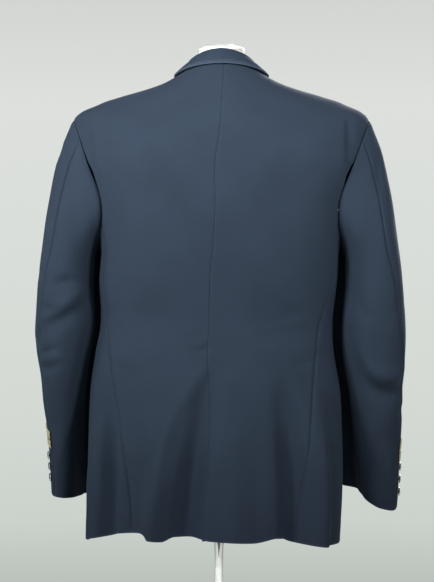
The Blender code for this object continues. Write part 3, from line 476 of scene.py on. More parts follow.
@dataclass
class BodySurface:
    """The jacket's body: angle 0 is the centre back, and it grows towards the wearer's left.

    A place is a ring's number, with the places between two rings in between, and a lift is a
    distance off the cloth's outer face.

    Attributes:
        armhole_top: height of the armhole's top.
        armhole_bottom: height of its lowest point.
        armhole_back: how far it reaches back.
        armhole_front: how far it reaches forward.
        armhole_egg: how much fuller its lower half is.
        fore_seam: angle of the seam between side panel and front.
        shoulder_turn: how far the shoulder seam runs back from the armhole to the neck.
        stand_left: x of the left front's edge, past the centre.
        stand_right: x of the right front's edge, under the left front.
        break_z: height where the lapels start to turn back.
        neck_angle: where the roll line meets the neck ring.
        overlap: how far the left front rises over the right one.
        overlap_x: x where it starts to rise, and over how much of x it does.
        overlap_z: height where it starts to sink again, and over how much height it does.
        rings: the sizes of the rings.
        hem: how far the hem lies above or below the lowest ring, by angle.
    """

    armhole_top: float = 1415.5
    armhole_bottom: float = 1212.0
    armhole_back: float = 66.0
    armhole_front: float = 80.0
    armhole_egg: float = 0.2
    fore_seam: float = 112.0
    shoulder_turn: float = 14.0
    stand_left: float = -20.0
    stand_right: float = 29.0
    break_z: float = 1190.0
    neck_angle: float = 125.0
    overlap: float = 2.9
    overlap_x: tuple[float, float] = (95.0, 37.0)
    overlap_z: tuple[float, float] = (1300.0, 85.0)
    rings: Table = field(default_factory=lambda: Table(RINGS))
    hem: Curve = field(default_factory=lambda: Curve(*zip(*HEM)))

    def fold_height(self, angle: Array, z: Array) -> Array:
        """How far the skirt's folds lift the cloth.

        Args:
            angle: angles round the body.
            z: heights.

        Returns:
            The lift at each place, negative in a trough.
        """
        low_z = RINGS[0].z_side
        total = np.zeros(np.broadcast(angle, z).shape)
        for fold in FOLDS:
            rise = (z - low_z) / (fold.high_z - low_z)
            middle = fold.low_angle + (fold.high_angle - fold.low_angle) * eased(rise)
            across = np.abs(angle - middle) / fold.half_angle
            total += fold.height * eased(1 - across) * eased((1 - rise) * 1.6)
        return total

    def base(self, angle: Array, place: Array) -> Array:
        """The body surface without its folds.

        Args:
            angle: angles round the body.
            place: places up it.

        Returns:
            The points.
        """
        ring = self.rings.at(place)
        side, back = np.sin(np.radians(angle)), np.cos(np.radians(angle))
        power = 2 / ring.corner
        depth = np.where(back > 0, ring.back, ring.front)
        end_z = np.where(back > 0, ring.z_back, ring.z_front)
        z = ring.z_side + (end_z - ring.z_side) * back * back
        z = z + self.hem(angle) * (1 - eased(np.asarray(place) / 2))
        x = ring.shift + ring.half_width * signed_power(side, power)
        return points_of(x, depth * signed_power(back, power), z)

    def normal(self, angle: Array, place: Array, turn: float = 0.3, step: float = 0.02) -> Array:
        """The outward normals of the body surface.

        Args:
            angle: angles round the body.
            place: places up it.
            turn: how far to either side the slope is read.
            step: how far up and down it is read.

        Returns:
            The normals.
        """
        place = np.asarray(place)
        low, high = np.maximum(place - step, 0), np.minimum(place + step, NECK)
        across = self.base(angle + turn, place) - self.base(angle - turn, place)
        along = self.base(angle, high) - self.base(angle, low)
        return unit(np.cross(along, across))

    def creases(self, points: Array) -> Array:
        """How far the wrinkles lift the cloth.

        Args:
            points: points of the surface.

        Returns:
            The lift at each point.
        """
        x, y, z = np.moveaxis(points, -1, 0)
        back = eased((y + 14) / 28)
        behind, before = (crease_lift(creases, x, z) for creases in (BACK_CREASES, FRONT_CREASES))
        uneven = 0.45 * ripple(x * 0.8 + y * 0.6, z * 0.6) * eased((1400 - z) / 120)
        return behind * back + before * (1 - back) + uneven

    def cloth(self, angle: Array, place: Array, lift: Array | float = 0.0) -> Array:
        """The folded and wrinkled cloth.

        Args:
            angle: angles round the body.
            place: places up it.
            lift: how far off its outer face.

        Returns:
            The points.
        """
        point = self.base(angle, place)
        height = lift + self.fold_height(angle, point[..., 2]) + self.creases(point)
        return point + self.normal(angle, place) * height[..., None]

    def place_of(self, z: Array | float) -> Array:
        """The place whose side height is z."""
        return Curve([ring.z_side for ring in RINGS], range(len(RINGS)))(z)

    def angle_of_x(self, x: Array, place: Array) -> Array:
        """Where a ring reaches an x on the front half.

        Args:
            x: how far to the left.
            place: the ring's place.

        Returns:
            The angle, from 90 to 270.
        """
        ring = self.rings.at(place)
        share = np.clip((x - ring.shift) / ring.half_width, -1, 1)
        return 180 - np.degrees(np.arcsin(signed_power(share, ring.corner / 2)))

    def armhole(self, station: Array | float, side: Side) -> tuple[Array, Array]:
        """The armhole, as an egg in side view: station 0 is its top, 90 its back, 180 its bottom.

        Args:
            station: places round the armhole, in degrees.
            side: which armhole.

        Returns:
            The angle and the ring place of each station on the body surface.
        """
        turn = np.radians(np.asarray(station, float))
        middle = (self.armhole_top + self.armhole_bottom) / 2
        half = (self.armhole_top - self.armhole_bottom) / 2
        z = middle + half * np.cos(turn)
        depth = np.where(np.sin(turn) > 0, self.armhole_back, self.armhole_front)
        y = depth * np.sin(turn) * (1 - self.armhole_egg * np.cos(turn))

        def angle_at(place: Array) -> Array:
            """The angle where the ring reaches y."""
            ring = self.rings.at(place)
            across = y / np.where(y > 0, ring.back, ring.front)
            return np.degrees(np.arccos(signed_power(across, ring.corner / 2))) * side.value

        place = halved(full(z, 6), full(z, TIP), lambda at: self.base(angle_at(at), at)[..., 2] < z)
        return angle_at(place), place

    def join(self, seam: Callable[[Array], Array | float], low: float, high: float) -> float:
        """Where the left armhole crosses a seam.

        Args:
            seam: the seam's angle at a place.
            low: a station behind the crossing.
            high: a station in front of it.

        Returns:
            The station.
        """

        def behind(station: Array) -> Array:
            """Whether a station lies behind the seam."""
            angle, place = self.armhole(station, Side.LEFT)
            return angle < seam(place)

        return float(halved(low, high, behind))

    def side_seam(self, side: Side, place: Array) -> Array:
        """The angle of the seam between back and side panel."""
        ring = self.rings.at(place)
        return side.value * (ring.left_seam if side is Side.LEFT else ring.right_seam)

    def shoulder_seam(self, place: Array) -> Array:
        """The shoulder seam's angle, from the armhole's top to a little behind the neck."""
        return 90 - self.shoulder_turn * eased((place - TIP) / (NECK - TIP))

    def edge_angle(self, side: Side, place: Array) -> Array:
        """The angle at which a front ends: the button stand, then the roll line to the neck.

        Args:
            side: which front.
            place: places up the body.

        Returns:
            The angle at each place.
        """
        stand = self.stand_left if side is Side.LEFT else self.stand_right
        neck = self.base(np.array(side.value * self.neck_angle), np.array(float(NECK)))
        angle = full(place, 180)
        for _ in range(12):
            z = self.base(angle, place)[..., 2]
            share = np.maximum(0.0, (z - self.break_z) / (neck[2] - self.break_z))
            angle = self.angle_of_x(stand + (neck[0] - stand) * share, place)
        at_neck = self.neck_angle if side is Side.LEFT else 360 - self.neck_angle
        angle = np.where(np.asarray(place) >= NECK, at_neck, angle)
        return angle if side is Side.LEFT else angle - 360

    def front(self, side: Side, angle: Array, place: Array, lift: Array | float = 0.0) -> Array:
        """The cloth of a front; the left one rises over the right one near its edge.

        Args:
            side: which front.
            angle: angles round the body.
            place: places up it.
            lift: how far off its outer face.

        Returns:
            The points.
        """
        if side is Side.RIGHT:
            return self.cloth(angle, place, lift)
        point = self.base(angle, place)
        near = eased((self.overlap_x[0] - point[..., 0]) / self.overlap_x[1])
        fade = 1 - eased((point[..., 2] - self.overlap_z[0]) / self.overlap_z[1])
        return self.cloth(angle, place, lift + self.overlap * near * fade)

    def front_at(self, side: Side, x: Array, z: Array, lift: Array | float = 0.0) -> Array:
        """The cloth of a front by its place in front view.

        Args:
            side: which front.
            x: how far to the left.
            z: heights.
            lift: how far off its outer face.

        Returns:
            The points.
        """
        place = halved(
            full(x, 5), full(x, NECK),
            lambda at: self.base(self.angle_of_x(x, at), at)[..., 2] < z, steps=30,
        )
        angle = self.angle_of_x(x, place)
        return self.front(side, angle if side is Side.LEFT else angle - 360, place, lift)


BODY = BodySurface()
BACK_JOIN = BODY.join(lambda place: BODY.side_seam(Side.LEFT, place), 90, 178)
FORE_JOIN = BODY.join(lambda place: BODY.fore_seam, 182, 268)


# The sleeve surfaces
# -------------------


@dataclass
class SleeveSurface:
    """A sleeve: station 0 is its outermost line, 90 its back; place 0 is the armhole, 9 the cuff.

    Attributes:
        side: which sleeve.
        armhole_gap: from the body's armhole to the sleeve's edge.
        clearance: from the body cloth to the sleeve that hangs against it.
        back_start: station of the back seam at the armhole.
        fore_start: station of the fore seam at the armhole.
        softness: how widely the sleeve rounds into the crevice behind it.
        fullness: how much wider the sleeve is in front of its inner side, against the body.
        blunt: how squarely it turns at the back, where 1 is an ellipse.
        hang: how far the cloth drops as it leaves the armhole.
        sweep: how far that direction carries, as a share of the way to place 1.
        girth_radius: from its middle to its cloth, where wrinkles are laid out.
        crevice_top: how far above the armhole's lowest point the crevice starts.
        crevice_fade: the height over which it opens.
        ahead_reach: how far in front of the sleeve's middle it closes again.
        ahead_depth: how far it closes there.
    """

    side: Side
    armhole_gap: float = -0.8
    clearance: float = 1.6
    back_start: float = 50.0
    fore_start: float = 262.0
    softness: float = 8.0
    fullness: float = 1.1
    blunt: float = 0.86
    hang: float = 0.9
    sweep: float = 0.9
    girth_radius: float = 58.0
    crevice_top: float = 128.0
    crevice_fade: float = 46.0
    ahead_reach: float = 40.0
    ahead_depth: float = 70.0

    def __post_init__(self) -> None:
        """Works out the sleeve's curves."""
        rows = SLEEVES[self.side]
        self.table = Table(rows)
        # How far, in degrees, the cloth turns over the armhole seam at each station.
        self.bend = Curve((0, 90, 140, 180, 225, 270, 360), (9, 56, 115, 165, 115, 53, 9))
        places = range(len(rows) + 1)
        self.back_seam = Curve(places, [self.back_start] + [row.back_seam for row in rows])
        self.fore_seam = Curve(places, [self.fore_start] + [row.fore_seam for row in rows])
        self.place_of = Curve(
            [row.z for row in reversed(rows)], [CUFF_PLACE - i for i in range(len(rows))]
        )
        self.crevice = Curve(*zip(*CREVICES[self.side]))

    def ring(self, station: Array, place: Array) -> Array:
        """The hanging sleeve, from place 1 under the arm to the cuff.

        Args:
            station: places round the sleeve, in degrees.
            place: places along it.

        Returns:
            The points.
        """
        cuff = self.table.at(place - 1)
        turn, twist = np.radians(station), np.radians(cuff.turn)
        inner = 1 + self.fullness * eased(-np.cos(turn) * 3) * eased(0.35 - 0.9 * np.sin(turn))
        blunt = np.where(np.sin(turn) > 0, self.blunt, 1.0)
        out = cuff.half_width * inner * signed_power(np.cos(turn), blunt)
        back = cuff.half_depth * signed_power(np.sin(turn), blunt)
        x = cuff.centre + out * np.cos(twist) + back * np.sin(twist)
        y = cuff.forward - out * np.sin(twist) + back * np.cos(twist)
        z = cuff.z + cuff.tilt_side * np.cos(turn) + cuff.tilt_back * np.sin(turn)
        return points_of(self.side.value * x, y, z)

    def start(self, station: Array) -> tuple[Array, Array]:
        """How the sleeve leaves the armhole: straight on at the top, folded back under the arm.

        Args:
            station: places round the armhole, in degrees.

        Returns:
            The points where it starts, and the way it goes from each.
        """
        station = np.mod(station, 360)
        angle, place = BODY.armhole(station, self.side)
        point, normal = BODY.base(angle, place), BODY.normal(angle, place)
        behind, ahead = (BODY.base(*BODY.armhole(station + step, self.side)) for step in (-1, 1))
        inwards = unit(np.cross(ahead - behind, normal))
        middle = points_of(point[..., 0], 0.0, (BODY.armhole_top + BODY.armhole_bottom) / 2)
        agrees = np.sum(inwards * (middle - point), axis=-1, keepdims=True)
        inwards = inwards * np.where(agrees < 0, -1, 1)
        turn = np.radians(self.bend(station))[..., None]
        direction = inwards * np.cos(turn) + normal * np.sin(turn)
        away = inwards * np.cos(turn / 2) + normal * np.sin(turn / 2)
        hang = self.hang * np.sin(np.radians(station))[..., None] ** 2
        return point + away * self.armhole_gap, unit(direction - UP * hang)

    def base(self, station: Array, place: Array) -> Array:
        """The sleeve surface without its wrinkles.

        Args:
            station: places round the sleeve, in degrees.
            place: places along it, from the armhole.

        Returns:
            The points.
        """
        station, place = np.broadcast_arrays(np.asarray(station, float), np.asarray(place, float))
        points = self.ring(station, np.maximum(place, 1))
        head = place < 1
        if not head.any():
            return points
        around = station[head]
        start, direction = self.start(around)
        end, next_to_end = (self.ring(around, full(around, at)) for at in (1.0, 1.05))
        reach = np.linalg.norm(end - start, axis=-1, keepdims=True) * self.sweep
        arrive = unit(next_to_end - end)
        points[head] = cubic(start, end, direction * reach, arrive * reach, place[head][..., None])
        return points

    def clear_of_body(self, points: Array, place: Array, lift: Array | float) -> Array:
        """Moves the sleeve out to clear the body cloth that it hangs against.

        Args:
            points: points of the sleeve.
            place: their places along it.
            lift: how far they are off its outer face.

        Returns:
            The points, with the crevice between body and sleeve opened.
        """
        x, y, z = np.abs(points[..., 0]), points[..., 1], points[..., 2]
        at = BODY.place_of(np.maximum(z, RINGS[0].z_side))
        ring = BODY.rings.at(at)
        share = y / np.where(y > 0, ring.back, ring.front)
        beside = np.abs(share) < 0.999
        held = signed_power(np.clip(share, -0.999, 0.999), ring.corner / 2)
        angle = self.side.value * np.degrees(np.arccos(held))
        limit = np.abs(BODY.cloth(angle, at, self.clearance)[..., 0]) - lift
        fade = eased((BODY.armhole_bottom + 10 - z) / 20) * beside
        x = x + np.maximum(limit - x, 0) * fade
        widest = ring.half_width + self.side.value * ring.shift
        cuff = self.table.at(np.maximum(place, 1) - 1)
        ahead = 1 - eased((y - cuff.forward + self.ahead_reach) / self.ahead_reach)
        edge = widest + self.crevice(z) - self.ahead_depth * ahead - lift
        opened = eased((BODY.armhole_bottom + self.crevice_top - z) / self.crevice_fade)
        opened = opened * eased(place / 0.6) * eased(3 - 3 * ahead)
        over = edge - x
        x = x + (over + np.sqrt(over**2 + self.softness**2)) / 2 * opened
        return points_of(self.side.value * x, y, z)

    def creases(self, station: Array, points: Array) -> Array:
        """How far the wrinkles lift the sleeve; those of the hidden side lie in front.

        Args:
            station: places round the sleeve, in degrees.
            points: points of the sleeve.

        Returns:
            The lift at each point.
        """
        round_it = (np.mod(station + 180, 360) - 180) * math.radians(1) * self.girth_radius
        z = points[..., 2]
        back = crease_lift(SLEEVE_CREASES[self.side], round_it, z)
        front = crease_lift(INNER_SLEEVE_CREASES, round_it, z + 6 * self.side.value)
        return back + front + 0.6 * ripple(round_it, z + 300 * self.side.value)

    def cloth(
        self, station: Array, place: Array, lift: Array | float = 0.0, turn: float = 2.0,
        step: float = 0.03,
    ) -> Array:
        """The wrinkled sleeve cloth.

        Args:
            station: places round the sleeve, in degrees.
            place: places along it, from the armhole.
            lift: how far off its outer face.
            turn: how far to either side the surface's slope is read.
            step: how far up and down it is read.

        Returns:
            The points.
        """
        station, place = np.broadcast_arrays(np.asarray(station, float), np.asarray(place, float))
        point = self.base(station, place)
        low, high = np.maximum(place - step, 0), np.minimum(place + step, CUFF_PLACE)
        around = self.base(station + turn, place) - self.base(station - turn, place)
        along = self.base(station, high) - self.base(station, low)
        normal = unit(np.cross(around, along)) * -self.side.value
        height = lift + self.creases(station, point) * eased(place * 2.5)
        return self.clear_of_body(point + normal * height[..., None], place, lift)


# Cloth pieces
# ------------


class Press(NamedTuple):
    """How an edge is pressed: its groove's depth and reach, then the allowance beside the groove,
    with its height, the distance over which it rises, where it ends and over how far."""

    depth: float
    reach: float
    height: float
    rise: float
    end: float
    fade: float


class Edge(Enum):
    """How the edge of a piece of cloth is finished."""

    SEAM = Press(1.3, 1.5, 0.35, 3, 7, 7)
    FLAT = Press(0.55, 1.0, 0.15, 3, 7, 7)  # a seam pressed flat
    DEEP = Press(2.0, 2.4, 0.2, 4, 9, 9)  # a seam that pulls the cloth in
    ARMHOLE = Press(0.5, 1.6, 0.5, 5, 8, 12)  # the body's side of the armhole seam
    ROPED = Press(0, 1, 1.1, 5, 8, 14)  # the sleeve's side, which its padding lifts
    HEM = Press(0.5, 1.2, 0.3, 2, 30, 8)
    PLAIN = Press(0, 1, 0, 1, 0, 1)  # a cut edge under another piece

    def lift(self, distance: Array) -> Array:
        """How far the finish raises or sinks the cloth.

        Args:
            distance: distances from the edge.

        Returns:
            The lift at each distance.
        """
        press = self.value
        raised = eased(distance / press.rise) * (1 - eased((distance - press.end) / press.fade))
        return press.height * raised - press.depth * bell(distance, press.reach)


class Cut(NamedTuple):
    """What a piece of cloth was cut to before it was sewn: its width across the grain, its length
    along it, and the share of width times length that the cut covers."""

    width: float
    length: float
    area: float


def near_edges(
    length: float, step: float, near: Sequence[float] = (0.9, 1.9, 3.2, 5.2, 8.0)
) -> Array:
    """Places the grid lines along a length, close together at its ends.

    Args:
        length: the length.
        step: from one line to the next in its middle.
        near: distances from each end of the lines that lie close to it.

    Returns:
        The lines' places, as shares of the length.
    """
    start = [value for value in near if value < length / 3]
    inner = length - 2 * start[-1]
    count = max(2, round(inner / step))
    middle = [start[-1] + inner * i / count for i in range(1, count)]
    every = [0.0, *start, *middle, *(length - value for value in reversed(start)), length]
    return np.array(every) / length


def distances(points: Array, axis: int) -> Array:
    """How far points lie along an axis of their grid from its start."""
    steps = np.linalg.norm(np.diff(points, axis=axis), axis=-1)
    return np.insert(np.cumsum(steps, axis=axis), 0, 0.0, axis=axis)


@dataclass
class Cloth:
    """A sewn piece: a grid on place(column, row, lift), with a wall inside.

    Attributes:
        name: the node that the piece stands for, and the start of its own name.
        place: gives the points for columns, rows and a lift.
        columns: the grid's columns, as place takes them.
        rows: the grid's rows.
        wall: the cloth's thickness.
        edges: the finish of the first and last column and of the first and last row.
        pucker: how far the stitching of the side seams gathers the cloth.
        pucker_reach: how far the gathers reach into the cloth.
        pucker_pitch: from one gather to the next, divided by 2 pi.
        corner: from a corner to where a deep seam's groove is at its full depth.
        worn: how far an edge's wear reaches into the cloth.
        round_off: how far the edges of the wall are rounded, as a share of its thickness.
    """

    name: str
    place: Place
    columns: Array
    rows: Array
    wall: float
    edges: tuple[Edge, Edge, Edge, Edge]
    pucker: float = 0.0
    pucker_reach: float = 9.0
    pucker_pitch: float = 2.6
    corner: float = 12.0
    worn: float = 2.2
    round_off: float = 0.3

    def build(self) -> bpy.types.Object:
        """Makes the piece with its thickness and a map of its cut."""
        column, row = np.meshgrid(self.columns, self.rows)
        flat = self.place(column, row, full(column, 0))
        across, along = distances(flat, 1), distances(flat, 0)
        reach = (across, across[:, -1:] - across, along, along[-1:, :] - along)
        to_side, to_end = np.minimum(*reach[:2]), np.minimum(*reach[2:])
        lifts = np.stack([
            edge.lift(distance) * (eased(end / self.corner) if edge is Edge.DEEP else 1)
            for edge, distance, end in zip(self.edges, reach, (to_end, to_end, to_side, to_side))
        ])
        lift = lifts.min(axis=0, initial=0) + lifts.max(axis=0, initial=0)
        points = self.place(column, row, lift)
        gathers = np.sin(along / self.pucker_pitch + 3 * np.sin(along / 31.0))
        lift = lift + self.pucker * bell(to_side, self.pucker_reach) * gathers
        wear = full(column, 0) + sum(
            bell(distance, self.worn)
            for edge, distance in zip(self.edges, reach) if edge is Edge.HEM
        )
        outwards = self.place(column, row, lift + 1.0) - points
        facing = np.cross(np.gradient(points, axis=1), np.gradient(points, axis=0))
        bm, spot = grid_mesh(points)
        cut = bm.loops.layers.uv.new("cut")
        worn = bm.verts.layers.float.new("wear")
        for vertex in bm.verts:
            vertex[worn] = float(wear[spot[vertex.index]])
        centred = across - across[:, -1:] / 2
        for face in bm.faces:
            for loop in face.loops:
                at = spot[loop.vert.index]
                loop[cut].uv = (centred[at] * MM, along[at] * MM)
        if np.sum(facing * outwards) < 0:
            bmesh.ops.reverse_faces(bm, faces=bm.faces)
        piece = add_piece(f"{self.name}_cloth", bm)
        wall = piece.modifiers.new("wall", "SOLIDIFY")
        wall.thickness = self.wall * MM
        wall.offset = -1
        rounding = piece.modifiers.new("rounded edges", "BEVEL")
        rounding.width = self.wall * self.round_off * MM
        rounding.segments = 2
        rounding.limit_method = "ANGLE"
        rounding.angle_limit = math.radians(55)
        return piece

    def sew(self, material: bpy.types.Material, slot: str, cut: str, rests_on: str) -> None:
        """Args:
            material: its finish.
            slot: the record's material slot; not used.
            cut: the name of the size it was cut to; not used.
            rests_on: the piece it hangs on; not used.
        """
        piece = self.build()
        dress(piece, material, self.name)


# Meshes
# ------


def grid_mesh(points: Array) -> tuple[bmesh.types.BMesh, dict[int, tuple[int, int]]]:
    """Makes a sheet of faces on a grid of points.

    Args:
        points: (rows, columns, 3) points.

    Returns:
        The mesh, in metres, and the row and column of each vertex by its index.
    """
    last_row, last_column = points.shape[0] - 1, points.shape[1] - 1
    bm = bmesh.new()
    bmesh.ops.create_grid(bm, x_segments=last_column, y_segments=last_row, size=1)
    spot = {}
    for vertex in bm.verts:
        row = round((vertex.co.y + 1) / 2 * last_row)
        column = round((vertex.co.x + 1) / 2 * last_column)
        spot[vertex.index] = (row, column)
        vertex.co = points[row, column] * MM
    return bm, spot


def add_piece(name: str, bm: bmesh.types.BMesh) -> bpy.types.Object:
    """Writes a mesh as a smooth piece that rides on the jacket's one body.

    Args:
        name: the piece's name.
        bm: its mesh, which is used up.

    Returns:
        The piece.
    """
    mesh = bpy.data.meshes.new(name)
    bm.to_mesh(mesh)
    bm.free()
    mesh.shade_smooth()
    piece = bpy.data.objects.new(name, mesh)
    bpy.context.scene.collection.objects.link(piece)
    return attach(piece, "root")


def dress(piece: bpy.types.Object, material: bpy.types.Material, node: str = "") -> None:
    """Gives a piece its finish and hides the imported part of the node that it stands for.

    Args:
        piece: the piece.
        material: its finish.
        node: the node, if it stands for one.
    """
    piece.data.materials.clear()
    piece.data.materials.append(material)
    if node:
        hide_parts(node)
    LOG.info("%s: %d faces", piece.name, len(piece.data.polygons))


def turned_mesh(profile: Sequence[tuple[float, float]], steps: int) -> bmesh.types.BMesh:
    """Spins a profile once round the Z axis.

    Args:
        profile: (radius, height) points, down the outer side.
        steps: how many steps a full turn has.

    Returns:
        The closed turned shape, in metres.
    """
    bm = bmesh.new()
    verts = [bm.verts.new((radius * MM, 0, height * MM)) for radius, height in profile]
    edges = [bm.edges.new(pair) for pair in zip(verts, verts[1:])]
    bmesh.ops.spin(
        bm, geom=verts + edges, cent=(0, 0, 0), axis=(0, 0, 1), angle=math.tau, steps=steps,
        use_merge=True,
    )
    bmesh.ops.remove_doubles(bm, verts=bm.verts, dist=1e-6)
    bmesh.ops.recalc_face_normals(bm, faces=bm.faces)
    return bm


def rounded(corners: Sequence[tuple[float, float, float]]) -> list[tuple[float, float]]:
    """A profile whose corners are rounded.

    Args:
        corners: (radius, height, rounding) of each corner.

    Returns:
        The profile's points.
    """
    profile: list[tuple[float, float]] = []
    for i, (x, z, rounding) in enumerate(corners):
        if rounding == 0 or i in (0, len(corners) - 1):
            profile.append((x, z))
            continue
        here = np.array((x, z))
        before, after = (
            unit(np.array(corners[j][:2]) - here) * rounding for j in (i - 1, i + 1)
        )
        for t in np.linspace(0, 1, 5):
            profile.append(tuple(map(float, here + before * (1 - t) ** 2 + after * t * t)))
    return profile


# Finishes
# --------


def linear(color: str) -> tuple[float, float, float, float]:
    """Turns an sRGB hex colour to linear values with an alpha of 1."""
    parts = (int(color[i : i + 2], 16) / 255 for i in (1, 3, 5))
    return (*(c / 12.92 if c <= 0.04045 else ((c + 0.055) / 1.055) ** 2.4 for c in parts), 1.0)


def add_node(
    tree: bpy.types.NodeTree, kind: str, settings: dict | None = None, links: dict | None = None,
    output: str | int = 0,
) -> bpy.types.NodeSocket:
    """Adds a shader node with its settings and links.

    Args:
        tree: the node tree.
        kind: the node's type, without its first word.
        settings: values for inputs, by name or number, or for the node's own properties.
        links: output sockets to link, by the name or number of the input they feed.
        output: which of the node's outputs is wanted.

    Returns:
        That output.
    """
    node = tree.nodes.new(f"ShaderNode{kind}")
    for name, value in (settings or {}).items():
        if isinstance(name, int) or name in node.inputs:
            node.inputs[name].default_value = value
        else:
            setattr(node, name, value)
    for name, socket in (links or {}).items():
        tree.links.new(socket, node.inputs[name])
    return node.outputs[output]


def new_material(name: str, **values: object) -> tuple[bpy.types.Material, bpy.types.Node]:
    """A material with its Principled shader set.

    Args:
        name: the material's name.
        values: values for the shader's sockets; an underscore stands for a space.

    Returns:
        The material and its shader.
    """
    material = bpy.data.materials.new(name)
    material.use_nodes = True
    shader = material.node_tree.nodes["Principled BSDF"]
    for key, value in values.items():
        shader.inputs[key.replace("_", " ")].default_value = value
    return material, shader


def wave_scale(pitch_mm: float) -> float:
    """The scale of a wave texture, which repeats every 2 pi / 20 of its scaled coordinate."""
    return math.tau / 20 / (pitch_mm * MM)


def link_all(shader: bpy.types.Node, sockets: dict[str, bpy.types.NodeSocket]) -> None:
    """Links output sockets to a shader's inputs, by their names."""
    for name, socket in sockets.items():
        shader.id_data.links.new(socket, shader.inputs[name])


@dataclass(frozen=True)
class WoolSerge:
    """Wool serge, woven in a fine steep twill and pressed.

    It gives a dull dark blue with a faint bloom of raised fibres where the light grazes it, and a
    paler, polished line where edges rub.

    Attributes:
        name: the material's name.
        color: the cloth's colour.
        worn: the colour of rubbed edges.
        bloom: the colour of its raised fibres in grazing light.
        twill_mm: from one twill rib to the next. Real ribs are about 0.6 mm apart, too fine to
            show, so they are drawn a little coarser.
        twill_angle: how steeply the ribs climb.
        slub_mm: size of the uneven patches in the yarn.
        patch_mm: size of the soft patches that wear and pressing leave.
        bump_mm: height of the ribs.
    """

    name: str = "wool_serge"
    color: str = "#2a3747"
    worn: str = "#55627a"
    bloom: str = "#b9c8e4"
    twill_mm: float = 1.1
    twill_angle: float = 63.0
    slub_mm: float = 2.4
    patch_mm: float = 70.0
    bump_mm: float = 0.12

    def material(self) -> bpy.types.Material:
        """Builds the material on the map of the cut."""
        material, shader = new_material(
            self.name, Roughness=0.88, Specular_IOR_Level=0.28, Sheen_Weight=0.06,
            Sheen_Roughness=0.45, Sheen_Tint=linear(self.bloom),
        )
        node = partial(add_node, material.node_tree)
        cut = node("UVMap", {"uv_map": "cut"})
        slant = (0, 0, math.radians(self.twill_angle))
        ribs = node("Mapping", {"Rotation": slant}, {"Vector": cut})
        twill = node(
            "TexWave",
            {"Scale": wave_scale(self.twill_mm), "Distortion": 0.5, "Detail": 1.0,
             "Detail Scale": 2.0, "wave_profile": "SIN"},
            {"Vector": ribs}, "Fac",
        )
        slub, patch = (
            node("TexNoise", {"Scale": 1 / (size * MM), "Detail": detail}, {"Vector": cut}, "Fac")
            for size, detail in ((self.slub_mm, 3.0), (self.patch_mm, 2.0))
        )
        wear = node("Attribute", {"attribute_name": "wear"}, output="Fac")
        rubbed = node("Math", {"operation": "MULTIPLY", 1: 0.5}, {0: wear})
        color = node(
            "Mix", {"data_type": "RGBA", 6: linear(self.color), 7: linear(self.worn)},
            {0: rubbed}, 2,
        )
        # The yarn, the soft patches and the ribs each darken and lighten the colour.
        yarn, soft, ribbed = (
            node(
                "MapRange", {"From Min": low, "From Max": high, "To Min": dark, "To Max": light},
                {"Value": value},
            )
            for value, low, high, dark, light in (
                (slub, 0.0, 1.0, 0.78, 1.22), (patch, 0.3, 0.7, 0.93, 1.07),
                (twill, 0.0, 1.0, 0.93, 1.05),
            )
        )
        shade = node("Math", {"operation": "MULTIPLY"}, {0: yarn, 1: soft})
        shade = node("Math", {"operation": "MULTIPLY"}, {0: shade, 1: ribbed})
        tinted = node("VectorMath", {"operation": "SCALE"}, {0: color, "Scale": shade})
        height = node("Math", {"operation": "ADD"}, {0: twill, 1: slub})
        bump = node("Bump", {"Strength": 0.35, "Distance": self.bump_mm * MM}, {"Height": height})
        link_all(shader, {"Base Color": tinted, "Normal": bump})
        return material


@dataclass(frozen=True)
class GoldBraid:
    """Flat woven braid of gilt thread: bright ribs across it with dull thread between.

    Attributes:
        name: the material's name.
        color: the colour of its ribs.
        dull: the colour between them.
        rib_mm: from one rib to the next, drawn a little coarser than real.
        bump_mm: height of the ribs.
    """

    name: str = "gilt_braid"
    color: str = "#f4eecb"
    dull: str = "#cfc592"
    rib_mm: float = 1.5
    bump_mm: float = 0.25

    def material(self) -> bpy.types.Material:
        """Builds the material on the map of the cut."""
        material, shader = new_material(self.name, Metallic=0.35, Roughness=0.42)
        node = partial(add_node, material.node_tree)
        cut = node("UVMap", {"uv_map": "cut"})
        wave = {"Scale": wave_scale(self.rib_mm), "Distortion": 0.8, "Detail": 1.0}
        rib = node("TexWave", wave, {"Vector": cut}, "Fac")
        color = node(
            "Mix", {"data_type": "RGBA", 6: linear(self.dull), 7: linear(self.color)}, {0: rib}, 2
        )
        bump = node("Bump", {"Strength": 0.5, "Distance": self.bump_mm * MM}, {"Height": rib})
        link_all(shader, {"Base Color": color, "Normal": bump})
        return material


@dataclass(frozen=True)
class Patterned:
    """A finish with one colour, broken up by a fine grain on Object coordinates.

    Attributes:
        name: the material's name.
        color: its lighter colour.
        dark: its darker colour.
        metallic: 1 for a metal.
        roughness: how dull it is.
        grain_mm: size of the grain.
        bump_mm: height of the grain.
        stretch: how much the grain is drawn out along x, y and z.
    """

    name: str
    color: str
    dark: str
    metallic: float
    roughness: float
    grain_mm: float
    bump_mm: float
    stretch: tuple[float, float, float] = (1.0, 1.0, 1.0)

    def material(self) -> bpy.types.Material:
        """Builds the material."""
        material, shader = new_material(self.name, Metallic=self.metallic)
        node = partial(add_node, material.node_tree)
        where = node("TexCoord", output="Object")
        scale = tuple(1 / (self.grain_mm * MM * s) for s in self.stretch)
        drawn = node("Mapping", {"Scale": scale}, {"Vector": where})
        grain = node("TexNoise", {"Scale": 1.0, "Detail": 4.0}, {"Vector": drawn}, "Fac")
        color = node(
            "Mix", {"data_type": "RGBA", 6: linear(self.dark), 7: linear(self.color)}, {0: grain}, 2
        )
        dullness = {"To Min": self.roughness * 0.8, "To Max": min(1.0, self.roughness * 1.2)}
        rough = node("MapRange", dullness, {"Value": grain})
        bump = node("Bump", {"Strength": 0.5, "Distance": self.bump_mm * MM}, {"Height": grain})
        link_all(shader, {"Base Color": color, "Roughness": rough, "Normal": bump})
        return material


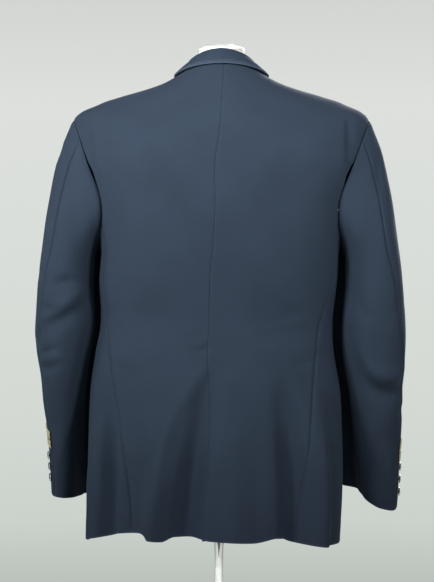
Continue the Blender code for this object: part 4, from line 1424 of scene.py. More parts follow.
# Nickel-plated brass, stamped and lightly polished: pale grey, softly mirrored, with fine scuffs.
NICKEL = Patterned("nickel_plated_brass", "#d9dcda", "#bfc2c0", 1.0, 0.3, 2.0, 0.02)
# Cotton jersey pulled over the form: off-white, dull, with knit ribs running down it.
JERSEY = Patterned("cotton_jersey", "#f0efe9", "#dcdad2", 0.0, 0.85, 1.2, 0.15, (1.0, 1.0, 4.0))
# Stove enamel on steel: white, smooth and softly glossy, with a slight orange peel.
ENAMEL = Patterned("white_stove_enamel", "#f1f4ee", "#e7ebe3", 0.0, 0.32, 6.0, 0.02)
# Drawn steel rod with a dark oil finish: grey, satin, with marks along it.
STEEL = Patterned("blackened_steel", "#4c4f4c", "#2f3230", 1.0, 0.42, 1.5, 0.02, (1.0, 1.0, 30.0))
# Mercerised cotton sewing thread, twisted: navy a little paler than the cloth, with a soft gloss.
THREAD = Patterned("cotton_thread", "#7c8ba3", "#66758e", 0.0, 0.5, 0.4, 0.05)


@dataclass
class Finishes:
    """Every finish of the object, built once."""

    wool: bpy.types.Material = field(default_factory=WoolSerge().material)
    braid: bpy.types.Material = field(default_factory=GoldBraid().material)
    nickel: bpy.types.Material = field(default_factory=NICKEL.material)
    jersey: bpy.types.Material = field(default_factory=JERSEY.material)
    enamel: bpy.types.Material = field(default_factory=ENAMEL.material)
    steel: bpy.types.Material = field(default_factory=STEEL.material)
    thread: bpy.types.Material = field(default_factory=THREAD.material)


# Sub-assemblies
# --------------


@dataclass
class BodyPanels:
    """The backs, side panels and fronts.

    Attributes:
        wall: the cloth's thickness.
        gap: between two panels at a seam.
        step: from one grid line to the next.
        pucker: how far the side seams' stitching gathers the cloth.
        even_rows: how many evenly spaced rows lie between the skirt's and the armhole.
        armhole_low: the place just under the armhole, where they end.
        back_width: width of a back's grid.
        side_width: width of a side panel's grid.
        front_width: width of a front's grid.
        armhole_steps: how many grid lines follow the armhole.
        shoulder_rows: the first rows above the armhole, from the shoulder tips' ring.
    """

    finishes: Finishes
    wall: float = 1.8
    gap: float = 0.04
    step: float = 5.0
    pucker: float = 0.14
    even_rows: int = 59
    armhole_low: float = 6.5
    back_width: float = 235.0
    side_width: float = 240.0
    front_width: float = 230.0
    armhole_steps: int = 44
    shoulder_rows: tuple[float, float, float] = (0.08, 0.2, 0.4)

    def __post_init__(self) -> None:
        """Places the grid lines that the panels share."""
        skirt = RINGS[2].z_side - RINGS[0].z_side
        low = BODY.place_of(RINGS[0].z_side + skirt * near_edges(skirt, self.step)[:-4])
        high = np.linspace(2, self.armhole_low, self.even_rows + 1)[1:]
        self.below = np.concatenate((low, high))
        first, second, third = (TIP + share for share in self.shoulder_rows)
        self.above = np.concatenate(([first, second], np.linspace(third, NECK, 26)))

    def angle_gap(self, place: Array) -> Array:
        """The gap at a seam as an angle of the ring."""
        return np.degrees(self.gap / BODY.rings.at(place).half_width)

    def rows(
        self, side: Side, join: float, top: float, seam: Callable[[Array], Array]
    ) -> tuple[Array, Array]:
        """The rows of a back or a front: up the body, round the armhole and along the shoulder.

        Args:
            side: which side.
            join: the station where the panel meets the armhole.
            top: the station of the armhole's top.
            seam: the angle of the panel's long seam at a place.

        Returns:
            For each row its ring place and the angle where the panel starts.
        """
        angle, place = BODY.armhole(np.linspace(join, top, self.armhole_steps), side)
        between = np.linspace(self.below[-1], float(BODY.armhole(join, side)[1]), 8)[1:-1]
        low = np.concatenate((self.below, between))
        places = np.concatenate((low, place, self.above))
        shoulder = side.value * BODY.shoulder_seam(self.above)
        return places, np.concatenate((seam(low) + 0 * low, angle, shoulder))

    def back(self, side: Side) -> Cloth:
        """One back, from the centre seam to the side seam, the armhole and the shoulder.

        Args:
            side: which side.

        Returns:
            The panel's cloth.
        """
        places, seam = self.rows(side, BACK_JOIN, 0, lambda at: BODY.side_seam(side, at))
        gap = side.value * self.angle_gap(places)
        start, end = BODY.rings.at(places).centre_seam + gap, seam - gap

        def place(across: Array, row: Array, lift: Array) -> Array:
            """Points of the back."""
            at = row.astype(int)
            return BODY.cloth(start[at] + (end - start)[at] * across, places[at], lift)

        return Cloth(
            f"back_{side.word}", place, near_edges(self.back_width, self.step),
            np.arange(len(places)), self.wall, (Edge.FLAT, Edge.DEEP, Edge.HEM, Edge.PLAIN),
            self.pucker,
        )

    def side_panel(self, side: Side) -> Cloth:
        """A side panel, whose top follows the armhole under the arm.

        Args:
            side: which side.

        Returns:
            The panel's cloth.
        """
        top = self.below[-1]
        rows = np.concatenate((self.below, top + np.linspace(0, 1, 9)[1:]))

        def angle(across: Array, at: Array) -> Array:
            """The angle before the top is bent to the armhole."""
            low, gap = BODY.side_seam(side, at), side.value * self.angle_gap(at)
            return low + gap + (side.value * BODY.fore_seam - low - 2 * gap) * across

        def place(across: Array, row: Array, lift: Array) -> Array:
            """Points of the side panel."""
            share = np.clip(row - top, 0, 1)
            end_angle, end = BODY.armhole(BACK_JOIN + (FORE_JOIN - BACK_JOIN) * across, side)
            at = np.where(share > 0, top + (end - top) * share, np.minimum(row, top))
            gap = side.value * self.angle_gap(end) * (1 - 2 * across)
            turn = end_angle - angle(across, end) + gap
            return BODY.cloth(angle(across, at) + turn * share, at, lift)

        return Cloth(
            f"side_{side.word}", place, near_edges(self.side_width, self.step), rows, self.wall,
            (Edge.DEEP, Edge.SEAM, Edge.HEM, Edge.ARMHOLE), self.pucker,
        )

    def front(self, side: Side) -> Cloth:
        """One front, from the side panel and the armhole to the button stand and the roll line.

        Args:
            side: which side.

        Returns:
            The panel's cloth.
        """
        places, seam = self.rows(side, FORE_JOIN, 360, lambda at: side.value * BODY.fore_seam)
        start = seam + side.value * self.angle_gap(places)
        end = BODY.edge_angle(side, places)

        def place(across: Array, row: Array, lift: Array) -> Array:
            """Points of the front."""
            at = row.astype(int)
            return BODY.front(side, start[at] + (end - start)[at] * across, places[at], lift)

        return Cloth(
            f"front_{side.word}", place, near_edges(self.front_width, self.step),
            np.arange(len(places)), self.wall, (Edge.SEAM, Edge.HEM, Edge.HEM, Edge.PLAIN),
        )

    def build(self) -> None:
        """Makes all six panels."""
        wool = self.finishes.wool
        for side in Side:
            self.back(side).sew(wool, "wool_cloth", "back", "form_torso_cover")
            self.side_panel(side).sew(wool, "wool_cloth", "side", "form_torso_cover")
            self.front(side).sew(wool, "wool_cloth", "front", "form_torso_cover")


@dataclass
class Sleeves:
    """The top and under sleeves with their braid.

    Attributes:
        wall: the cloth's thickness.
        step: from one grid line to the next.
        gap: from a seam to each panel's edge.
        pucker: how far the seams' stitching gathers the cloth.
        radius: from a sleeve's middle to its cloth, where gaps turn to angles.
        head_length: from the armhole to place 1.
        arm_length: from there to the cuff.
        widths: width of the grid of each panel.
        braid_width: a stripe's width.
        braid_thick: its thickness.
        braid_length: length of its grid.
        braid_low: height of the lower stripe's lower edge at the back seam.
        braid_pitch: from one stripe to the next.
        braid_rise: how far a stripe climbs from the back seam to the fore seam.
        braid_inset: from the seams to its ends.
        braid_seat: from the sleeve's face to the stripe's underside.
    """

    finishes: Finishes
    wall: float = 1.6
    step: float = 5.5
    gap: float = 0.04
    pucker: float = 0.16
    radius: float = 45.0
    head_length: float = 90.0
    arm_length: float = 415.0
    widths: dict = field(default_factory=lambda: {"topsleeve": 195.0, "undersleeve": 160.0})
    braid_width: float = 12.0
    braid_thick: float = 1.0
    braid_length: float = 165.0
    braid_low: dict = field(default_factory=lambda: {Side.LEFT: 873.0, Side.RIGHT: 853.0})
    braid_pitch: float = 15.5
    braid_rise: float = 62.0
    braid_inset: float = 1.0
    braid_seat: float = 0.9

    def __post_init__(self) -> None:
        """Makes the two sleeve surfaces."""
        self.surfaces = {side: SleeveSurface(side) for side in Side}

    def place(
        self, side: Side, part: str, gap: float, across: Array, place: Array, lift: Array
    ) -> Array:
        """Points of a sleeve's panel; across runs from its first seam to its second.

        Args:
            side: which sleeve.
            part: topsleeve or undersleeve.
            gap: from the seam to the piece's edge.
            across: shares of the way round the panel.
            place: places along the sleeve.
            lift: how far off its outer face.

        Returns:
            The points.
        """
        surface = self.surfaces[side]
        fore, back = surface.fore_seam(place), surface.back_seam(place)
        start, end = (fore, back + 360) if part == "topsleeve" else (back, fore)
        margin = math.degrees(gap / self.radius)
        return surface.cloth(start + margin + (end - start - 2 * margin) * across, place, lift)

    def panel(self, side: Side, part: str) -> Cloth:
        """A sleeve's top or under panel, from the armhole to the cuff.

        Args:
            side: which sleeve.
            part: topsleeve or undersleeve.

        Returns:
            The panel's cloth.
        """
        head = near_edges(self.head_length, self.step)[:-5]
        low = 1 + near_edges(self.arm_length, self.step)[6:] * (CUFF_PLACE - 1)
        sides = (Edge.SEAM, Edge.DEEP) if part == "topsleeve" else (Edge.DEEP, Edge.SEAM)
        return Cloth(
            f"{part}_{side.word}", partial(self.place, side, part, self.gap),
            near_edges(self.widths[part], self.step), np.concatenate((head, low)), self.wall,
            (*sides, Edge.ROPED, Edge.HEM), self.pucker,
        )

    def braid(self, side: Side, stripe: int, name: str) -> Cloth:
        """A stripe of braid across the top sleeve, rising from the back seam.

        Args:
            side: which sleeve.
            stripe: 0 for the lower one, 1 for the upper one.
            name: its name.

        Returns:
            The stripe's cloth.
        """
        low = self.braid_low[side] + stripe * self.braid_pitch

        def place(from_back: Array, across: Array, lift: Array) -> Array:
            """Points of the stripe, which is a little thinner along its edges."""
            z = low + self.braid_rise * from_back + self.braid_width * across
            thinner = 0.5 * (bell(across, 0.08) + bell(1 - across, 0.08))
            height = self.braid_seat + self.braid_thick + lift - thinner
            row = self.surfaces[side].place_of(z)
            return self.place(side, "topsleeve", self.braid_inset, 1 - from_back, row, height)

        return Cloth(
            name, place, near_edges(self.braid_length, 2.5),
            near_edges(self.braid_width, 1.5, (0.5, 1.2)), self.braid_thick, (Edge.PLAIN,) * 4,
        )

    def build(self) -> None:
        """Makes both sleeves."""
        wool, braid = self.finishes.wool, self.finishes.braid
        for side in Side:
            for part in ("topsleeve", "undersleeve"):
                self.panel(side, part).sew(wool, "wool_cloth", part, f"back_{side.word}_cloth")
            for stripe, word in enumerate(("lower", "upper")):
                cloth = self.braid(side, stripe, f"cuff_braid_{word}_{side.word}")
                cloth.sew(braid, "gold_braid", "braid", f"topsleeve_{side.word}_cloth")


@dataclass
class Collar:
    """The turned down collar: part 0 to 1 is its stand, 1 to 2 its fold and 2 to 3 its fall.

    Attributes:
        wall: the thickness of its two layers together.
        fold_radius: radius of the fold.
        fall_lift: how far its outer edge stands off the back.
        foot: from the neck seam inwards and up to the stand's foot.
        end_gap: from the roll line to the collar's ends, in degrees.
        length: length of its grid.
        fall_width: width of the fall's grid.
    """

    finishes: Finishes
    wall: float = 2.4
    fold_radius: float = 4.2
    fall_lift: float = 5.0
    foot: tuple[float, float] = (2.2, 0.5)
    end_gap: float = 1.5
    length: float = 400.0
    fall_width: float = 45.0

    def __post_init__(self) -> None:
        """Shapes the stand and the fall by the angle from the centre back."""
        end = BODY.neck_angle
        self.rise = Curve((0, 50, 90, end), (19.0, 17.0, 12.0, 10.5))
        self.lean = Curve((0, 50, 90, end), (7.0, 10.0, 13.0, 11.0))
        self.drop = Curve((0, 60, 95, end), (0.34, 0.32, 0.36, 1.0))
        self.bulge = Curve((0, 50, 85, 105, end), (1.5, 1.5, 2.0, 5.5, 5.5))

    def point(self, angle: Array, part: Array, lift: Array) -> Array:
        """Points of the collar.

        Args:
            angle: angles round the neck.
            part: places across the collar, from the neck seam to its outer edge.
            lift: how far off its outer face.

        Returns:
            The points.
        """
        seam = BODY.base(angle, full(angle, NECK))
        outwards = unit(points_of(seam[..., 0] - RINGS[NECK].shift, seam[..., 1], 0.0))
        rise, lean, bulge = (
            curve(np.abs(angle))[..., None] for curve in (self.rise, self.lean, self.bulge)
        )
        lift, part = lift[..., None], part[..., None]
        foot = seam - outwards * self.foot[0] + UP * self.foot[1]
        head = seam - outwards * lean + UP * (rise - self.fold_radius)
        centre = head + outwards * self.fold_radius
        turn = math.pi * (2 - np.clip(part, 1, 2))
        facing = outwards * np.cos(turn) + UP * np.sin(turn)
        stand = foot + (head - foot) * np.clip(part, 0, 1) - outwards * lift
        fold = centre + facing * (self.fold_radius + lift)
        top = centre + outwards * self.fold_radius
        end = BODY.cloth(angle, NECK - self.drop(np.abs(angle)), self.fall_lift)
        share = np.clip(part - 2, 0, 1)
        bow = np.sin(math.pi * share) * bulge
        fall = top + (end - top) * share + unit(outwards + UP) * (bow + lift)
        return np.where(part <= 1, stand, np.where(part <= 2, fold, fall))

    def build(self) -> None:
        """Makes the collar."""
        angles = (BODY.neck_angle - self.end_gap) * (2 * near_edges(self.length, 4.0) - 1)
        fall = 2 + near_edges(self.fall_width, 2.5, (0.8, 1.8, 3.0))[3:]
        parts = np.concatenate((np.linspace(0, 1, 7)[:-1], np.linspace(1, 2, 9)[:-1], fall))
        edges = (Edge.HEM, Edge.HEM, Edge.PLAIN, Edge.HEM)
        collar = Cloth("collar", self.point, angles, parts, self.wall, edges)
        collar.sew(self.finishes.wool, "wool_cloth", "collar", "form_torso_cover")


class Corners(NamedTuple):
    """A lapel in front view: the roll line and the outer edge, each from low to high, as (x, z)."""

    roll_low: tuple[float, float]
    roll_high: tuple[float, float]
    edge_low: tuple[float, float]
    edge_high: tuple[float, float]


LAPELS = {
    Side.LEFT: Corners((-14.0, 1204.0), (48.0, 1464.0), (-9.0, 1202.0), (107.0, 1396.0)),
    Side.RIGHT: Corners((-7.5, 1272.0), (-57.0, 1464.0), (-19.0, 1240.0), (-117.0, 1396.0)),
}


@dataclass
class Lapels:
    """The turned back tops of the fronts.

    Attributes:
        wall: the cloth's thickness.
        lift: from the front's face to the lapel's underside.
        roll: how much further the roll line stands off.
        belly: how far the outer edge swells.
        width: width of the grid.
        length: its length.
    """

    finishes: Finishes
    wall: float = 2.0
    lift: float = 0.9
    roll: float = 5.0
    belly: float = 7.0
    width: float = 70.0
    length: float = 240.0

    def point(self, side: Side, across: Array, along: Array, lift: Array) -> Array:
        """Points of a lapel.

        Args:
            side: which lapel.
            across: shares of the way from the roll line to the edge.
            along: shares of the way from low to high.
            lift: how far off its outer face.

        Returns:
            The points.
        """
        corners = Corners(*(np.array(corner) for corner in LAPELS[side]))
        t = along[..., None]
        inner = corners.roll_low + (corners.roll_high - corners.roll_low) * t
        outer = corners.edge_low + (corners.edge_high - corners.edge_low) * t
        swell = side.value * self.belly * np.sin(math.pi * along)
        spot = inner + (outer + points_of(swell, 0.0, 0.0)[..., :2] - inner) * across[..., None]
        roll = self.roll * (1 - across) ** 2 * eased(along * 3)
        return BODY.front_at(side, spot[..., 0], spot[..., 1], self.wall + self.lift + roll + lift)

    def build(self) -> None:
        """Makes both lapels."""
        columns, rows = near_edges(self.width, 3.5), near_edges(self.length, 4.0)
        edges = (Edge.PLAIN, Edge.HEM, Edge.HEM, Edge.HEM)
        for side in Side:
            place = partial(self.point, side)
            lapel = Cloth(f"lapel_{side.word}", place, columns, rows, self.wall, edges)
            lapel.sew(self.finishes.wool, "wool_cloth", "lapel", f"front_{side.word}_cloth")


@dataclass
class Buttons:
    """The domed metal buttons of the cuffs and the front.

    Attributes:
        cuff_radius: radius of a cuff button.
        cuff_top: height of each cuff's highest button.
        cuff_step: from one cuff button to the next.
        cuff_count: how many a cuff has.
        from_seam: degrees round the sleeve, from the back seam towards the front.
        front_radius: radius of a front button.
        front_x: how far to the left the front buttons sit.
        front_top: height of the highest one.
        front_step: from one to the next.
        front_count: how many the front has.
        thick: from the cloth to the foot of a button's dome.
        shank: how far the shank sinks into the cloth.
    """

    finishes: Finishes
    sleeves: Sleeves
    cuff_radius: float = 7.0
    cuff_top: dict = field(default_factory=lambda: {Side.LEFT: 861.0, Side.RIGHT: 843.5})
    cuff_step: float = 18.5
    cuff_count: int = 3
    from_seam: float = 24.0
    front_radius: float = 10.5
    front_x: float = 4.0
    front_top: float = 1178.0
    front_step: float = 88.0
    front_count: int = 4
    thick: float = 2.35
    shank: float = 0.5

    def make(self, name: str, radius: float, place: Callable[[float], Array]) -> None:
        """Makes one button: a dome inside a raised rim, on a shank.

        Args:
            name: the button's name.
            radius: its radius.
            place: gives the point of the cloth under it, for a lift.
        """
        dome = [
            (radius * 0.82 * math.sin(a), self.thick + radius * 0.2 * math.cos(a))
            for a in np.linspace(0, math.pi / 2, 9)
        ]
        rim = rounded([
            (radius * 0.82, self.thick, 0), (radius * 0.86, 2.2, 0.1), (radius * 0.9, 2.75, 0.3),
            (radius, 2.6, 0.35), (radius, 1.6, 0.4), (radius * 0.86, 1.2, 0.3),
            (radius * 0.32, 1.0, 0.2), (radius * 0.28, -self.shank, 0),
        ])
        bm = turned_mesh([*dome, *rim[1:], (0.0, -self.shank)], 40)
        point = place(0.0)
        turn = Vector(unit(place(1.0) - point)).to_track_quat("Z", "Y").to_matrix().to_4x4()
        bmesh.ops.transform(
            bm, matrix=Matrix.Translation(Vector(point) * MM) @ turn, verts=bm.verts
        )
        dress(add_piece(f"{name}_metal", bm), self.finishes.nickel, name)

    def build(self) -> None:
        """Makes and seats every button."""
        for side in Side:
            surface = self.sleeves.surfaces[side]
            for number in range(self.cuff_count):
                row = surface.place_of(self.cuff_top[side] - number * self.cuff_step)
                on_cuff = partial(surface.cloth, surface.back_seam(row) - self.from_seam, row)
                self.make(f"cuff_button_{number + 1}_{side.word}", self.cuff_radius, on_cuff)
        for number in range(self.front_count):
            row = BODY.place_of(self.front_top - number * self.front_step)
            on_front = partial(BODY.front, Side.LEFT, BODY.angle_of_x(self.front_x, row), row)
            self.make(f"front_button_{number + 1}", self.front_radius, on_front)


@dataclass
class Stitching:
    """Rows of stitches, each stitch a small bead of thread half sunk in the cloth.

    Attributes:
        length: of a stitch.
        pitch: from one stitch to the next.
        inset: from the edge to the row.
        thick: half of the thread's thickness, drawn coarser than real so that it shows.
        seat: how far the beads' middles lie off the cloth's face.
        collar_end: from the roll line to the ends of the collar's row, in degrees.
        collar_fall: width of the collar's fall.
        front_low: height of the lower end of the front's row.
        front_high: height of its upper end, just under the lapel.
    """

    finishes: Finishes
    collar: Collar
    lapels: Lapels
    length: float = 2.7
    pitch: float = 3.3
    inset: float = 6.0
    thick: float = 0.32
    seat: float = 0.12
    collar_end: float = 7.0
    collar_fall: float = 33.0
    front_low: float = 730.0
    front_high: float = 1185.0

    def row(
        self, name: str, start: tuple[float, float], stop: tuple[float, float], place: Place,
        count: int = 120,
    ) -> None:
        """Makes a row of stitches along a line.

        Args:
            name: the row's name.
            start: column and row of the line's first point.
            stop: column and row of its last point.
            place: gives the points for columns, rows and a lift.
            count: how many points the line is measured at.
        """
        columns, rows = np.linspace(start, stop, count).T
        points, above = (place(columns, rows, full(columns, lift)) for lift in (self.seat, 1.0))
        run = distances(points, 0)
        at = (np.arange(int(run[-1] // self.pitch)) + 0.5) * self.pitch

        def read(values: Array, ahead: float = 0.0) -> Array:
            """Values of the line at each stitch, or a little ahead of it."""
            return np.stack([np.interp(at + ahead, run, column) for column in values.T], axis=-1)

        middle, normals = read(points), unit(read(unit(above - points)))
        size = Matrix.Diagonal((self.length / 2, self.thick, self.thick * 0.8, 1))
        bm = bmesh.new()
        for spot, forward, normal in zip(middle, unit(read(points, 0.4) - middle), normals):
            axes = np.stack((forward, np.cross(normal, forward), normal), axis=-1)
            turn = Matrix.Translation(Vector(spot) * MM) @ Matrix(axes).to_4x4()
            bmesh.ops.create_icosphere(bm, subdivisions=1, radius=MM, matrix=turn @ size)
        dress(add_piece(name, bm), self.finishes.thread)

    def front_edge(self, inset: Array, place: Array, lift: Array) -> Array:
        """Points beside the left front's edge."""
        turn = np.degrees(inset / BODY.rings.at(place).half_width)
        return BODY.front(Side.LEFT, BODY.edge_angle(Side.LEFT, place) - turn, place, lift)

    def build(self) -> None:
        """Stitches the outer edges of the collar, the lapels and the left front."""
        end = BODY.neck_angle - self.collar_end
        part = 3 - self.inset / self.collar_fall
        low, high = (float(BODY.place_of(z)) for z in (self.front_low, self.front_high))
        self.row("collar_stitches", (-end, part), (end, part), self.collar.point, 260)
        for side in Side:
            place = partial(self.lapels.point, side)
            self.row(f"lapel_stitches_{side.word}", (0.91, 0.04), (0.94, 0.965), place)
            self.row(f"lapel_top_stitches_{side.word}", (0.93, 0.968), (0.08, 0.968), place)
        self.row("front_stitches", (self.inset, low), (self.inset, high), self.front_edge)


@dataclass
class DressForm:
    """The torso with its neck and cap.

    Attributes:
        bottom: height of the torso's underside.
        neck_top: height of the neck's end.
        neck_radius: the neck's radius.
        neck_flare: how much wider the neck is at its foot.
        neck_shift: x of the neck's axis.
        cap_rise: height of the cap.
        cap_radius: radius of its edge.
        cap_dome: radius of its domed top.
        cap_gap: from the neck to the cap.
        inset: how far the form lies inside the cloth everywhere.
        chest_inset: how much further its chest does.
        tip_inset: how much further its shoulder tips do.
        steps: how many faces it has round it.
    """

    finishes: Finishes
    bottom: float = 840.0
    neck_top: float = 1530.0
    neck_radius: float = 38.0
    neck_flare: float = 4.0
    neck_shift: float = -4.0
    cap_rise: float = 13.4
    cap_radius: float = 38.5
    cap_dome: float = 80.0
    cap_gap: float = 0.4
    inset: float = 2.6
    chest_inset: float = 7.0
    tip_inset: float = 30.0
    steps: int = 120

    def __post_init__(self) -> None:
        """Sets how much further the form lies inside the cloth at each ring."""
        self.slack = Curve((0, 3, 5, 7, 9, 10, 12, 13, NECK), (24, 19, 11, 7, 4, 2.4, 1.6, 2.6, 12))

    def point(self, angle: Array, place: Array) -> Array:
        """Points of the torso up to the neck ring, then of the neck.

        Args:
            angle: angles round the form.
            place: places up the body, where the last ring and 1 more is the neck's end.

        Returns:
            The points.
        """
        turn, low = np.radians(angle), np.minimum(place, NECK)
        chest = self.chest_inset * np.maximum(0.0, -np.cos(turn))
        shoulder = eased((low - 6.5) / 2) * (1 - eased((low - 9.4) / 1.2))
        tip = self.tip_inset * np.abs(np.sin(turn)) ** 4 * shoulder
        inset = self.inset + self.slack(low) + chest + tip
        torso = BODY.base(angle, low) - BODY.normal(angle, low) * inset[..., None]
        share = place - NECK
        radius = self.neck_radius + self.neck_flare * (1 - eased(share * 1.6))
        x, y = self.neck_shift + radius * np.sin(turn), radius * np.cos(turn)
        neck = points_of(x, y, self.neck_top)
        blend = eased(share * 2.2)
        carried = torso + (neck - torso) * np.stack((blend, blend, share), axis=-1)
        points = np.where((place > NECK)[..., None], carried, torso)
        points[..., 2] = np.maximum(points[..., 2], self.bottom)
        return points

    def cap_height(self, radius: float) -> float:
        """Height of the cap's domed top at a radius."""
        return self.cap_rise - radius**2 / (2 * self.cap_dome)

    def build(self) -> None:
        """Makes the torso and the cap."""
        lowest = float(BODY.place_of(self.bottom))
        rows = np.concatenate((np.linspace(lowest, NECK, 110), NECK + np.linspace(0, 1, 14)[1:]))
        angle, row = np.meshgrid(np.linspace(0, 360, self.steps + 1), rows)
        bm, _ = grid_mesh(self.point(np.where(angle > 180, angle - 360, angle), row))
        bmesh.ops.remove_doubles(bm, verts=bm.verts, dist=1e-5)
        rim = [edge for edge in bm.edges if edge.is_boundary]
        bmesh.ops.holes_fill(bm, edges=rim, sides=0)
        bmesh.ops.recalc_face_normals(bm, faces=bm.faces)
        dress(add_piece("form_torso_cover", bm), self.finishes.jersey, "form_torso")
        radii = np.linspace(0, self.cap_radius - 1, 9)
        dome = [(radius, self.cap_height(radius), 0) for radius in radii]
        rim = (self.cap_radius, self.cap_height(self.cap_radius), 0.8)
        cap = turned_mesh(rounded([*dome, rim, (self.cap_radius, 0, 0.5), (0, 0, 0)]), 96)
        shift = Vector((self.neck_shift, 0, self.neck_top + self.cap_gap)) * MM
        bmesh.ops.translate(cap, vec=shift, verts=cap.verts)
        dress(add_piece("neck_cap_dome", cap), self.finishes.enamel, "neck_cap")


@dataclass
class Stand:
    """The rod, the slit tube, the hub and the base plate.

    Attributes:
        rod_top: height of the form's underside, which the rod ends in.
        rod_radius: the rod's radius.
        pole_radius: the tube's radius.
        tube_wall: thickness of the tube's wall at its top.
        fork_radius: the tube's radius at its opened out top.
        fork_top: height of the tube's top.
        fork_bottom: height where it starts to open out, and where the slit ends.
        fork_slot: width of the slit at the tube's top.
        base_radius: the base plate's radius.
        base_thick: its thickness.
        hub_radius: the hub's radius.
        hub_height: its height.
        gap: between the pieces.
    """

    finishes: Finishes
    rod_top: float = 840.0
    rod_radius: float = 4.2
    pole_radius: float = 6.6
    tube_wall: float = 1.6
    fork_radius: float = 8.1
    fork_top: float = 726.0
    fork_bottom: float = 690.0
    fork_slot: float = 6.6
    base_radius: float = 180.0
    base_thick: float = 8.0
    hub_radius: float = 21.0
    hub_height: float = 26.0
    gap: float = 0.4

    def tube(self) -> bpy.types.Object:
        """The tube, opened out at its top, with a wedge cut out of its back wall."""
        low, bore = self.base_thick + self.gap, self.rod_radius + self.gap
        inner = self.fork_radius - self.tube_wall
        profile = rounded([
            (inner, self.fork_top, 0), (self.fork_radius, self.fork_top, 0.5),
            (self.pole_radius, self.fork_bottom, 6), (self.pole_radius, low, 0), (bore, low, 0),
            (bore, self.fork_bottom, 6), (inner, self.fork_top, 0),
        ])
        tube = add_piece("pole_tube_slit", turned_mesh(profile, 64))
        above = self.fork_top + 2
        reach = self.fork_slot / 2 * (above - self.fork_bottom) / (self.fork_top - self.fork_bottom)
        corners = ((0, self.fork_bottom), (reach, above), (-reach, above))
        bm = bmesh.new()
        outline = [Vector((x, self.rod_radius, z)) * MM for x, z in corners]
        face = bm.faces.new([bm.verts.new(corner) for corner in outline])
        moved = bmesh.ops.extrude_face_region(bm, geom=[face])["geom"]
        verts = [item for item in moved if isinstance(item, bmesh.types.BMVert)]
        bmesh.ops.translate(bm, verts=verts, vec=(0, 2 * self.fork_radius * MM, 0))
        bmesh.ops.recalc_face_normals(bm, faces=bm.faces)
        cutter = add_piece("slit_wedge", bm)
        slit = tube.modifiers.new("slit", "BOOLEAN")
        slit.operation = "DIFFERENCE"
        slit.solver = "EXACT"
        slit.object = cutter
        bpy.context.view_layer.update()
        finished = tube.evaluated_get(bpy.context.evaluated_depsgraph_get())
        cut = bpy.data.meshes.new_from_object(finished)
        tube.modifiers.clear()
        tube.data = cut
        bpy.data.objects.remove(cutter)
        return tube

    def build(self) -> None:
        """Makes the stand's pieces."""
        low, top = self.base_thick + self.gap, self.rod_top - self.gap
        bore, hub_top = self.pole_radius + self.gap, self.base_thick + self.hub_height
        radius, rim = self.rod_radius, self.base_radius
        rod = rounded([(0, top, 0), (radius, top, 0.5), (radius, low, 0.5), (0, low, 0)])
        plate = rounded([
            (0, self.base_thick, 0), (rim, self.base_thick, 3), (rim, 0, 1), (0, 0, 0)
        ])
        hub = rounded([
            (bore, hub_top, 0), (self.hub_radius, hub_top, 3), (self.hub_radius, low, 0.5),
            (bore, low, 0), (bore, hub_top, 0),
        ])
        enamel = self.finishes.enamel
        piece = add_piece("pole_rod_steel", turned_mesh(rod, 48))
        dress(piece, self.finishes.steel, "pole_rod")
        dress(self.tube(), enamel, "pole_tube")
        piece = add_piece("stand_base_plate", turned_mesh(plate, 160))
        dress(piece, enamel, "stand_base")
        piece = add_piece("stand_hub_collar", turned_mesh(hub, 64))
        dress(piece, enamel, "stand_hub")


STAND = ("pole_rod_steel", "pole_tube_slit", "stand_hub_collar", "stand_base_plate")


class Lamp(NamedTuple):
    """A soft rectangular lamp: where it hangs, its size, its power, how widely it spreads in
    degrees, the height it is aimed at over the floor's middle, and what it lights if not all."""

    name: str
    at: tuple[float, float, float]
    size: tuple[float, float]
    power: float
    spread: float
    aim: float = 1.52
    pieces: tuple[str, ...] = ()


LAMPS = (
    Lamp("floor_lamp", (0.0, 0.5, 3.4), (2.4, 2.4), 150.0, 180, 1.52, ("floor", *STAND)),
    Lamp("stand_back_lamp", (0.1, 2.2, 0.8), (0.7, 0.7), 36.0, 180, 0.6, STAND),
    Lamp("stand_front_lamp", (-0.5, -2.2, 0.8), (0.5, 0.5), 25.0, 180, 0.6, STAND),
    Lamp("high_softbox", (1.0, 1.7, 2.5), (0.8, 0.7), 3.3, 50),
    Lamp("top_softbox", (-0.65, 2.0, 2.42), (0.9, 0.7), 0.5, 50),
    Lamp("left_softbox", (1.9, 1.9, 1.7), (0.5, 0.5), 3.0, 45, 1.45),
    Lamp("side_softbox", (2.5, 0.7, 1.55), (0.8, 1.0), 1.8, 48, 1.5),
    Lamp("right_softbox", (-2.0, 1.9, 1.8), (0.5, 0.5), 2.9, 45, 1.5),
    Lamp("far_right_softbox", (-2.4, 0.9, 1.5), (0.6, 0.8), 0.6, 60, 1.5),
    Lamp("front_softbox", (-0.9, -2.3, 2.2), (1.4, 1.2), 14.0, 60),
)


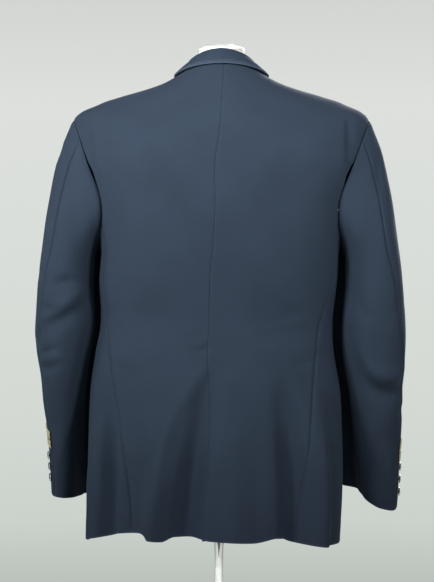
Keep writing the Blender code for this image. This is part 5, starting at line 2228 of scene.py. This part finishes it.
@dataclass
class Studio:
    """The floor, the pale surroundings, the soft lights and the camera.

    Attributes:
        eye: the camera's place.
        lens: its focal length.
        ambient: how much of the pale surroundings' light reaches the object.
        floor_radius: the floor's radius.
        floor_color: its colour.
        horizon: how far below and above the camera's level the surroundings change colour.
        backdrop: the colours of the surroundings, from below to above, the lowest ones darkened
            with painted shade.
    """

    eye: tuple[float, float, float] = (0.0032, 3.2, 1.133)
    lens: float = 119.2
    ambient: float = 0.12
    floor_radius: float = 2.6
    floor_color: str = "#d2d6d1"
    horizon: float = 0.16
    backdrop: tuple[tuple[float, str], ...] = (
        # The two lowest colours are darker with painted shade, standing in for the shadow near the
        # stand.
        (0.0, "#b4bcb5"), (0.13, "#cbd2cc"), (0.32, "#d4d9d4"), (0.6, "#dadeda"),
        (0.8, "#dde0dc"), (1.0, "#d0d3cf"),
    )

    def floor(self) -> None:
        """A plain pale floor."""
        bm = bmesh.new()
        bmesh.ops.create_circle(bm, cap_ends=True, segments=96, radius=self.floor_radius)
        mesh = bpy.data.meshes.new("floor")
        bm.to_mesh(mesh)
        bm.free()
        paint = {"Roughness": 0.9, "Base_Color": linear(self.floor_color)}
        mesh.materials.append(new_material("matt_floor_paint", **paint)[0])
        floor = bpy.data.objects.new("floor", mesh)
        bpy.context.scene.collection.objects.link(floor)
        floor.visible_diffuse = False

    def surroundings(self) -> None:
        """A pale world, darker low down, where painted shade stands in for the shadow on the
        backdrop near the stand.
        """
        world = bpy.data.worlds.new("studio")
        bpy.context.scene.world = world
        world.use_nodes = True
        node = partial(add_node, world.node_tree)
        way = node("TexCoord", output="Generated")
        height = node("SeparateXYZ", links={0: way}, output="Z")
        level = {"From Min": -self.horizon, "From Max": self.horizon}
        color = node("ValToRGB", links={"Fac": node("MapRange", level, {"Value": height})})
        elements = color.node.color_ramp.elements
        (_, lowest), *between, (_, highest) = self.backdrop
        for at, shade in between:
            elements.new(at).color = linear(shade)
        elements[0].color, elements[-1].color = linear(lowest), linear(highest)
        seen = node("LightPath", output="Is Camera Ray")
        strength = node("MapRange", {"To Min": self.ambient, "To Max": 1.0}, {"Value": seen})
        link_all(world.node_tree.nodes["Background"], {"Color": color, "Strength": strength})

    def light(self, lamp: Lamp) -> None:
        """Hangs a lamp and aims it.

        Args:
            lamp: the lamp.
        """
        light = bpy.data.lights.new(lamp.name, "AREA")
        light.spread = math.radians(lamp.spread)
        light.shape = "RECTANGLE"
        light.size, light.size_y = lamp.size
        light.energy = lamp.power
        holder = bpy.data.objects.new(lamp.name, light)
        bpy.context.scene.collection.objects.link(holder)
        holder.location = lamp.at
        way = Vector((0, 0, lamp.aim)) - holder.location
        holder.rotation_euler = way.to_track_quat("-Z", "Y").to_euler()
        if lamp.pieces:
            lit = bpy.data.collections.new(lamp.name)
            for piece in lamp.pieces:
                lit.objects.link(bpy.data.objects[piece])
            holder.light_linking.receiver_collection = lit

    def build(self) -> None:
        """Sets up the studio."""
        self.floor()
        self.surroundings()
        for lamp in LAMPS:
            self.light(lamp)
        camera = bpy.data.objects.new("camera", bpy.data.cameras.new("camera"))
        camera.data.sensor_width = 36.0
        camera.data.lens = self.lens
        camera.location = self.eye
        camera.rotation_euler = (math.radians(90), 0, math.radians(180))
        bpy.context.scene.collection.objects.link(camera)
        bpy.context.scene.camera = camera
        bpy.context.scene.view_settings.view_transform = "Standard"


def main() -> None:
    """Builds the jacket, the form, the stand and the studio in order."""
    logging.basicConfig(level=logging.INFO, format="%(message)s")
    finishes = Finishes()
    sleeves, collar, lapels = Sleeves(finishes), Collar(finishes), Lapels(finishes)
    parts = (
        BodyPanels(finishes), sleeves, collar, lapels, Buttons(finishes, sleeves),
        Stitching(finishes, collar, lapels), DressForm(finishes), Stand(finishes), Studio(),
    )
    for part in parts:
        LOG.info("building %s", type(part).__name__)
        part.build()


if __name__ == "__main__":
    main()
